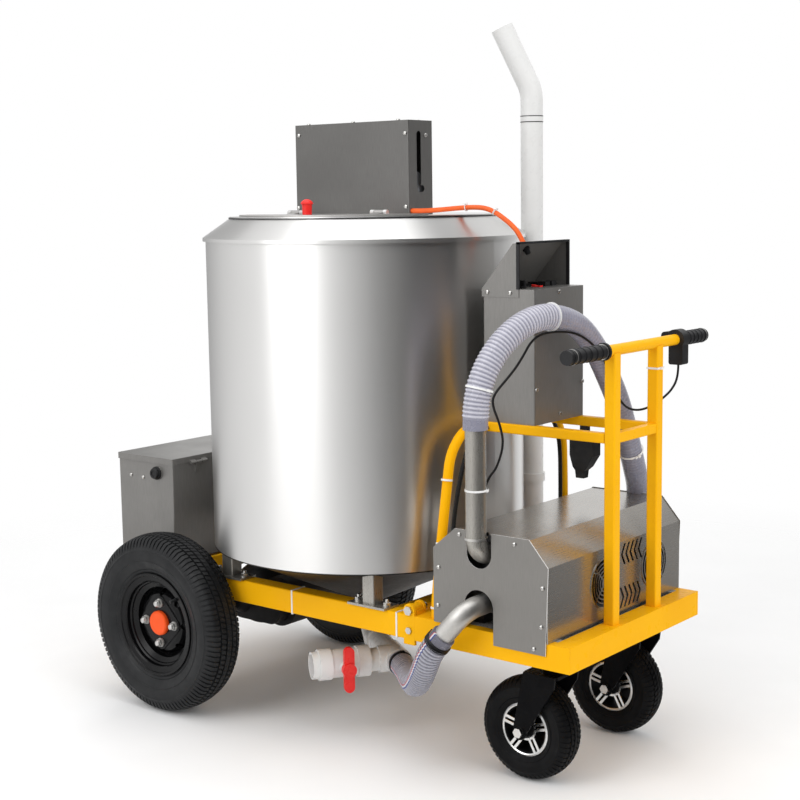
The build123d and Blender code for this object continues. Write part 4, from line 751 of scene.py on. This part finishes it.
# Ties and clamps round hoses, pipes and tubes
def band_tree(name, rims):
    """Band round a pipe at each seed's reach, with a block on its facing side.

    A clamp also has two rolled rims.
    """
    g = Growth(name, Band_width=0.0048, Band_thickness=0.0014, Block_long=0.0065, Block_wide=0.007,
               Block_high=0.0065, Tail=0.012, Material=None)
    width, thick, long, wide, high, tail = g.sizes()
    reach = Field(g, g.attribute("reach", "FLOAT"))
    axis, facing = g.attribute("axis"), g.attribute("facing")
    turn = upright(g)

    def moved(direction, distance):
        offset = g.first("ShaderNodeVectorMath", {"operation": "SCALE"}, Vector=direction, Scale=distance)
        return g.geo("SetPosition", Geometry=g.source, Offset=offset)

    def hoop(shift, section_width, section_height):
        size = reach + section_height * 0.5
        hoops = g.geo("InstanceOnPoints", Points=moved(axis, width * shift), Rotation=turn,
                      Instance=g.geo("CurvePrimitiveCircle", Resolution=48, Radius=1.0),
                      Scale=g.join(size, size, size))
        section = g.geo("CurvePrimitiveQuadrilateral", Width=section_height, Height=section_width)
        return g.geo("CurveToMesh", Curve=g.geo("RealizeInstances", Geometry=hoops),
                     Profile_Curve=section)

    parts = [hoop(0.0, width, thick)]
    if rims:
        parts += [hoop(shift, width * 0.12, thick * 1.7) for shift in (-0.5, 0.5)]
    block = g.geo("MeshCube", Size=g.join(high, wide, long))
    ribbon = g.geo("MeshCube", Size=g.join(thick, tail, width))
    ribbon = g.geo("Transform", Geometry=ribbon, Translation=g.join(0.0, tail * 0.6, 0.0))
    parts.append(g.geo("InstanceOnPoints", Points=moved(facing, reach + high * 0.45),
                       Instance=g.join_parts(block, ribbon), Rotation=turn))
    g.close(*parts)
    return g


def across(axis, facing):
    """The part of a facing that is square to an axis."""
    axis, facing = Vector(axis).normalized(), Vector(facing)
    return facing - axis * facing.dot(axis)


def where(points, test):
    """Point and direction of a line where a test value is least."""
    k = min(range(1, len(points) - 1), key=lambda i: test(points[i]))
    return points[k], (points[k + 1] - points[k - 1]).normalized()


ties = []
for test, facing in ((lambda p: abs(p.z - 0.985) + 10 * (p.y > -0.2), (1, -0.3, 0)),
                     (lambda p: abs(p.y + 0.1) + 10 * (p.z < 1.1), (0.2, 0, -1)),
                     (lambda p: abs(p.z - 0.765) + 10 * (p.y < 0.1), (1, -0.5, 0))):
    at, axis = where(delivery_line, test)
    ties.append((at, axis, across(axis, facing), 0.0332))
ties.append((RISER + Vector((0, 0, 0.742)), TOP, (1, 0.3, 0), 0.0256))
STAY_LEAN = (0, 0.17, 1)
for z, y in ((0.736, -0.2436), (0.577, -0.268), (0.416, -0.292)):
    ties.append(((0.396, y, z), STAY_LEAN, across(STAY_LEAN, (-0.5, 1, 0)), 0.0134))
for share in (0.33, 0.62):
    k = int(len(motor_line) * share)
    axis = motor_line[k + 1] - motor_line[k - 1]
    ties.append((motor_line[k], axis, across(axis, TOP), 0.0066))
plant("nylon_ties", band_tree("nylon_tie", False), ties, nylon)


def hose_bands(name, material, spots, **sizes):
    """Clamps at distances along hose lines."""
    clamps = []
    for line, distance in spots:
        k = next(i for i in range(1, len(line)) if line_length(line[:i + 1]) > distance)
        axis = line[k] - line[k - 1]
        clamps.append((line[k], axis, across(axis, (-0.3, 0.3, 1)), 0.0312))
    plant(name, clamp_tree, clamps, material, **sizes)


clamp_tree = band_tree("worm_clamp", True)
hose_bands("hose_clamp", zinc, [(delivery_line[::-1], 0.013)], Band_width=0.011, Band_thickness=0.0012,
           Block_long=0.012, Block_wide=0.022, Block_high=0.009, Tail=0.03)
hose_bands("black_hose_bands", black_plastic,
           [(suction_line, 0.021), (suction_line, 0.0295), (suction_line[::-1], 0.012)], Band_width=0.0045,
           Band_thickness=0.002, Block_long=0.007, Block_wide=0.012, Block_high=0.006, Tail=0.01)


# Turned and small pieces made in mesh code
def corners(centre, u, v):
    """Four corners of a rectangle whose half sides are u and v."""
    return [centre + u + v, centre - u + v, centre - u - v, centre + u - v]


class Shape:
    """A mesh put together from simple forms, then seated as a piece."""

    def __init__(self):
        self.bm = bmesh.new()

    def skin(self, rings, closed=False):
        """Joins rings of points with quads, and caps the ends."""
        rows = [[self.bm.verts.new(point) for point in ring] for ring in rings]
        pairs = list(zip(rows, rows[1:]))
        if closed:
            pairs.append((rows[-1], rows[0]))
        for a, b in pairs:
            for k in range(len(a)):
                j = (k + 1) % len(a)
                self.bm.faces.new((a[k], a[j], b[j], b[k]))
        if not closed:
            self.bm.faces.new(rows[0][::-1])
            self.bm.faces.new(rows[-1])
        return self

    def lathe(self, origin, axis, profile, steps=32, closed=False):
        """Adds a turned form: profile is (distance along axis, radius) pairs."""
        axis = Vector(axis).normalized()
        u = axis.orthogonal().normalized()
        v = axis.cross(u)
        turns = [tau * k / steps for k in range(steps)]
        return self.skin([[Vector(origin) + axis * at + u * (radius * cos(a)) + v * (radius * sin(a))
                           for a in turns] for at, radius in profile], closed)

    def hoop(self, origin, axis, inner, outer, width):
        """Adds a flat ring."""
        half = width / 2
        section = [(-half, inner), (-half, outer), (half, outer), (half, inner)]
        return self.lathe(origin, axis, section, 48, True)

    def block(self, low, high):
        """Adds a box between two corners."""
        low, high = Vector(low), Vector(high)
        mid, half = (low + high) / 2, (high - low) / 2
        u, v, w = Vector((half.x, 0, 0)), Vector((0, half.y, 0)), Vector((0, 0, half.z))
        return self.skin([corners(mid - w, u, v), corners(mid + w, u, v)])

    def strap(self, centre, along, u, v, width=0.005, thick=0.0013):
        """Adds a flat strap round a square tube, whose half sides are u and v."""
        step = Vector(along).normalized() * width / 2
        u, v = Vector(u), Vector(v)
        wide_u, wide_v = u + u.normalized() * thick, v + v.normalized() * thick
        return self.skin([corners(centre - step, u, v), corners(centre - step, wide_u, wide_v),
                          corners(centre + step, wide_u, wide_v), corners(centre + step, u, v)], True)

    def seat(self, name, material, body="chassis", sharp=38):
        mesh = bpy.data.meshes.new(name)
        self.bm.to_mesh(mesh)
        self.bm.free()
        seat(name, mesh, material, body, sharp)


VALVE = [(-0.006, 0.0058), (0.012, 0.0052), (0.02, 0.0042), (0.0205, 0.0048), (0.029, 0.0048), (0.03, 0.004)]
for side, sign in SIDES:
    shape = Shape()
    foot = AXLE + Vector((0.087, sign * (WHEEL_Y + 0.028), 0.087))
    shape.lathe(foot, (-0.25, sign, -0.25), VALVE, 14)
    shape.seat(f"{side}_tyre_valve", black_plastic, f"{side}_wheel")

# Raised faces of the casters' double spokes, sloping out from a ring at the hub to the rim's lip
SPOKES, SPOKE_APART, SPOKE_BACK, BEVEL = 5, 0.0068, 0.0165, 0.001
RING_IN, RING_OUT = 0.0215, 0.029
spoke_ends = ((HUB_R - 0.002, 0.0036, SPOKE_FACE), (LIP_R, 0.0042, SPOKE_FACE + (LIP_R - HUB_R) * SPOKE_RISE))
for side, sign in SIDES:
    shape = Shape()
    middle = Vector((CASTER.x, sign * CASTER.y, CASTER.z))
    for hand in (-1, 1):
        out_y = Vector((0, hand, 0))
        for pair in range(SPOKES):
            out = Vector((sin(tau * pair / SPOKES), 0, cos(tau * pair / SPOKES)))
            edge = out.cross(out_y)
            for off in (-SPOKE_APART, SPOKE_APART):
                shape.skin([
                    [middle + out * reach + edge * (off + half * share) + out_y * depth
                     for share, depth in ((-1, SPOKE_BACK), (-1, high - BEVEL), (-0.8, high),
                                          (0.8, high), (1, high - BEVEL), (1, SPOKE_BACK))]
                    for reach, half, high in spoke_ends])
        shape.lathe(middle, out_y, [(SPOKE_BACK, RING_IN), (SPOKE_BACK, RING_OUT),
                                    (SPOKE_FACE + 0.0008, RING_OUT), (SPOKE_FACE, HUB_R + 0.0003),
                                    (SPOKE_FACE, RING_IN)], 40, True)
    shape.seat(f"{side}_spoke_faces", rim_finish, f"{side}_caster_wheel", 20)

    # Flange of the brake drum, behind the rim's vents
    flange = Shape().hoop(AXLE + Vector((0, sign * (WHEEL_Y - 0.017), 0)), RIGHT, 0.079, 0.0995, 0.0025)
    flange.seat(f"{side}_drum_flange", black_paint, f"{side}_wheel")

# Painted shade: a black rubber ring under the top plate's rim, drawn for the shadow line that the rim's
# overhang casts
TOP_RIM_SHADOW_RING = [(1.3905, 0.3695), (1.3905, 0.3745), (1.3922, 0.3755), (1.3922, 0.3705)]
Shape().lathe(TANK, TOP, TOP_RIM_SHADOW_RING, 160, True).seat("top_rim_shadow_ring", grip_rubber)

CHARGE_SOCKET = [(0, 0.0195), (0.004, 0.0195), (0.006, 0.018), (0.006, 0.0165), (0.012, 0.016),
                 (0.0145, 0.0145), (0.015, 0.009), (0.013, 0.008), (0.013, 0.001)]
Shape().lathe((-0.63, -0.293, 0.652), LEFT, CHARGE_SOCKET, 28).seat("charge_socket", black_plastic)

# Black edge trim round the hood's open front
TRIM_BACK, TRIM_FRONT, TRIM_LEFT, TRIM_RIGHT = 0.5045, 0.5125, -0.0917, 0.1447
shape = Shape()
for low_y, high_y, low_z, high_z in ((TRIM_LEFT, -0.0867, PANEL_Z, 1.3266),
                                     (0.1397, TRIM_RIGHT, PANEL_Z, 1.3266),
                                     (TRIM_LEFT, TRIM_RIGHT, 1.3216, 1.3271)):
    shape.block((TRIM_BACK, low_y, low_z), (TRIM_FRONT, high_y, high_z))
shape.seat("hood_trim", grip_rubber)

# Low sockets and switch bodies on the panel under the hood
shape = Shape()
for x, y, half, high in ((0.487, 0.062, 0.011, 0.012), (0.487, 0.092, 0.011, 0.012),
                         (0.45, 0.03, 0.012, 0.006), (0.45, 0.075, 0.014, 0.009)):
    shape.block((x - half, y - half, PANEL_Z), (x + half, y + half, PANEL_Z + high))
shape.seat("panel_sockets", black_plastic)

# Gland inside the hood, which holds the end of the motor lead
GLAND = [(-0.0015, 0.0095), (0.006, 0.0095), (0.007, 0.0078), (0.0165, 0.007), (0.0175, 0.006)]
Shape().lathe(HOOD_ENTRY, LEAD_DROP, GLAND, 24).seat("lead_gland", black_plastic)

# Square straps on the far post and the rail
POST_HALF = 0.0151
shape = Shape()
shape.strap(Vector((POST_X, 0.126, 1.007)), TOP, (POST_HALF, 0, 0), (0, POST_HALF, 0))
shape.block((POST_X + 0.0155, 0.1215, 1.004), (POST_X + 0.0215, 0.1285, 1.0105))
for x in (-0.0785, 0.286):
    shape.strap(RAIL + Vector((x, 0, 0)), FRONT, (0, RAIL_HALF.y, 0), (0, 0, RAIL_HALF.z))
shape.seat("square_straps", nylon)

# Relay box that hangs under the shelf's far tube, as (x, z, half length, half width) down from it
RELAY_Y = 0.128
RELAY = ((0.571, 0.8418, 0.012, 0.006), (0.571, 0.806, 0.012, 0.006), (0.571, 0.806, 0.035, 0.02),
         (0.571, 0.764, 0.035, 0.02), (0.565, 0.732, 0.022, 0.016), (0.562, 0.722, 0.014, 0.012),
         (0.562, 0.702, 0.012, 0.011))
rings = [corners(Vector((x, RELAY_Y, z)), Vector((u, 0, 0)), Vector((0, v, 0))) for x, z, u, v in RELAY]
Shape().skin(rings).seat("relay_box", black_plastic, sharp=20)

# Weld bead where the riser leaves the pump cover
weld = Shape().hoop(RISER + Vector((0, 0, 0.6235)), TOP, RISER_R - 0.0008, RISER_R + 0.0028, 0.006)
# The weld bead is in the lighter satin steel, which carries painted light
weld.seat("riser_weld", lit_satin_steel)

# Sleeve round the spout's swivel joint, with a dark rubber ring at each edge for the shadow lines there:
# painted shade
for name, material, heights, width, thick in (
        ("swivel_sleeve", white_pvc, (1.6545,), 0.0137, 0.0007),
        ("sleeve_shadow_lines", grip_rubber, (1.6625, 1.6465), 0.0023, 0.0009)):
    shape = Shape()
    for height in heights:
        shape.hoop(STAND + Vector((0, 0, height)), TOP, PVC_R + 0.0002, PVC_R + thick, width)
    shape.seat(name, material)

# Bright rings on the grips
for name, body, spots in (("left_grip_rings", "chassis", (-0.133, -0.268)),
                          ("throttle_grip_rings", "throttle_grip", (0.27, 0.366))):
    shape = Shape()
    for y in spots:
        shape.hoop((POST_X, y, BAR_Z), RIGHT, 0.0165, 0.0193, 0.0022)
    shape.seat(name, zinc, body)


# Studio
def stage(name, bm, material, only_mirrored=False):
    """Puts up a thing of the studio, which may show in polished metal alone."""
    mesh = bpy.data.meshes.new(name)
    bm.to_mesh(mesh)
    bm.free()
    mesh.materials.append(material)
    thing = bpy.data.objects.new(name, mesh)
    scene.collection.objects.link(thing)
    if only_mirrored:
        thing.visible_camera = thing.visible_diffuse = False
        thing.visible_shadow = thing.visible_transmission = False


# Floor, which fades out before its edge
FLOOR_R, FADE_FROM, FADE_TO = 6.0, 1.2, 3.2
ground = Finish("pale_floor")
ground.surface(ground.ramp(ground.noise(2.0), (0.4, (0.93,) * 3), (0.6, (0.95,) * 3)), 0.8,
               ground.noise(60.0), 0.01, 0.0005)
ground.set(Specular_IOR_Level=0.0)
x, y, z = ground.split(ground.place)
fade = ground.span((x * x + y * y).math("SQRT"), 0.0, 1.0, FADE_FROM, FADE_TO)
seen = ground.node("ShaderNodeMixShader", Fac=fade)
ground.feed(seen.inputs[1], ground.shader.outputs[0])
ground.feed(seen.inputs[2], ground.first("ShaderNodeBsdfTransparent"))
ground.feed(ground.tree.nodes["Material Output"].inputs["Surface"], seen.outputs[0])
bm = bmesh.new()
bmesh.ops.create_circle(bm, cap_ends=True, segments=96, radius=FLOOR_R)
stage("floor", bm, ground.material)

# Grey card round the front and the far left, open before the key light, and a piece overhead,
# which only show as bands in polished metal; its tones go by bearing in degrees
CARD_TONES = ((-210, 0.42), (-190, 0.5), (-165, 0.79), (-145, 0.93), (-128, 1.0), (-80, 1.0), (-71.25, 0.8),
              (-41.5, 0.22), (-17, 0.03), (19.75, 0.03), (61.75, 0.42), (95, 0.95))
CARD_FROM, CARD_TO, CARD_MID, CARD_STEPS = radians(-210), radians(95), radians(-50), 122
KEY_GAP = radians(-128), radians(-80)
CARD_IN, CARD_OUT, CARD_Z, CARD_TOP = 1.25, 3.1, 0.02, 3.6
DIP, DIP_FROM, DIP_OVER = 1.7, radians(30), radians(30)
OVERHEAD, OVERHEAD_Z = ((0.25, 0.5), (1.5, 0.5), (1.5, 1.9), (0.25, 1.9)), 3.4
paper = Finish("card_grey")
aside = paper.first("ShaderNodeMapping", Vector=paper.place, Rotation=(0, 0, -CARD_MID))
x, y, z = paper.split(aside)
bearing = paper.span(y.math("ARCTAN2", x), 0.0, 1.0, CARD_FROM - CARD_MID, CARD_TO - CARD_MID)
stops = [((radians(at) - CARD_FROM) / (CARD_TO - CARD_FROM), (tone,) * 3) for at, tone in CARD_TONES]
glow = paper.first("ShaderNodeEmission", Color=paper.ramp(bearing, *stops))
paper.feed(paper.tree.nodes["Material Output"].inputs["Surface"], glow)
bm = bmesh.new()
turns = [CARD_FROM + (CARD_TO - CARD_FROM) * k / CARD_STEPS for k in range(CARD_STEPS + 1)]
tops = [CARD_TOP - DIP * min(max((a - DIP_FROM) / DIP_OVER, 0), 1) for a in turns]
rows = [[bm.verts.new((r * cos(a), r * sin(a), top * share + CARD_Z)) for a, top in zip(turns, tops)]
        for r, share in ((CARD_IN, 0), (CARD_OUT, 0), (CARD_OUT, 1))]
for low, high in zip(rows, rows[1:]):
    for k in range(CARD_STEPS):
        if not KEY_GAP[0] < (turns[k] + turns[k + 1]) / 2 < KEY_GAP[1]:
            bm.faces.new((low[k], low[k + 1], high[k + 1], high[k]))
bm.faces.new([bm.verts.new((x, y, OVERHEAD_Z)) for x, y in OVERHEAD])
stage("grey_card", bm, paper.material, True)


def area_light(name, place, target, size, power, mirrored=False):
    data = bpy.data.lights.new(name, "AREA")
    data.shape = "RECTANGLE"
    data.size = data.size_y = size
    data.energy = power
    light = bpy.data.objects.new(name, data)
    light.location = place
    light.rotation_euler = (Vector(target) - Vector(place)).to_track_quat("-Z", "Y").to_euler()
    light.visible_glossy = mirrored
    scene.collection.objects.link(light)


area_light("key", (-0.8, -3.7, 2.6), (0, 0, 0.8), 2.6, 55, True)
area_light("fill", (4.2, -0.4, 2.4), (0.2, 0, 0.7), 2.5, 55)
area_light("rim", (-3.2, 2.6, 3.4), (0, 0, 1.0), 2.5, 40)
area_light("overhead", (0.2, -0.6, 4.4), (0, 0, 0), 3.6, 60, True)

AMBIENT = 0.64
world = bpy.data.worlds.new("studio")
scene.world = world
world.use_nodes = True
sky = Graph(world.node_tree)
path = sky.node("ShaderNodeLightPath").outputs
camera_ray, glossy_ray, clear_ray = (
    Field(sky, path[f"Is {kind} Ray"]) for kind in ("Camera", "Glossy", "Transmission"))
shown = (camera_ray + glossy_ray + clear_ray).math("MINIMUM", 1.0)
background = world.node_tree.nodes["Background"]
background.inputs["Color"].default_value = (1, 1, 1, 1)
sky.feed(background.inputs["Strength"], shown * (1.0 - AMBIENT) + AMBIENT)
scene.view_settings.view_transform = "Standard"
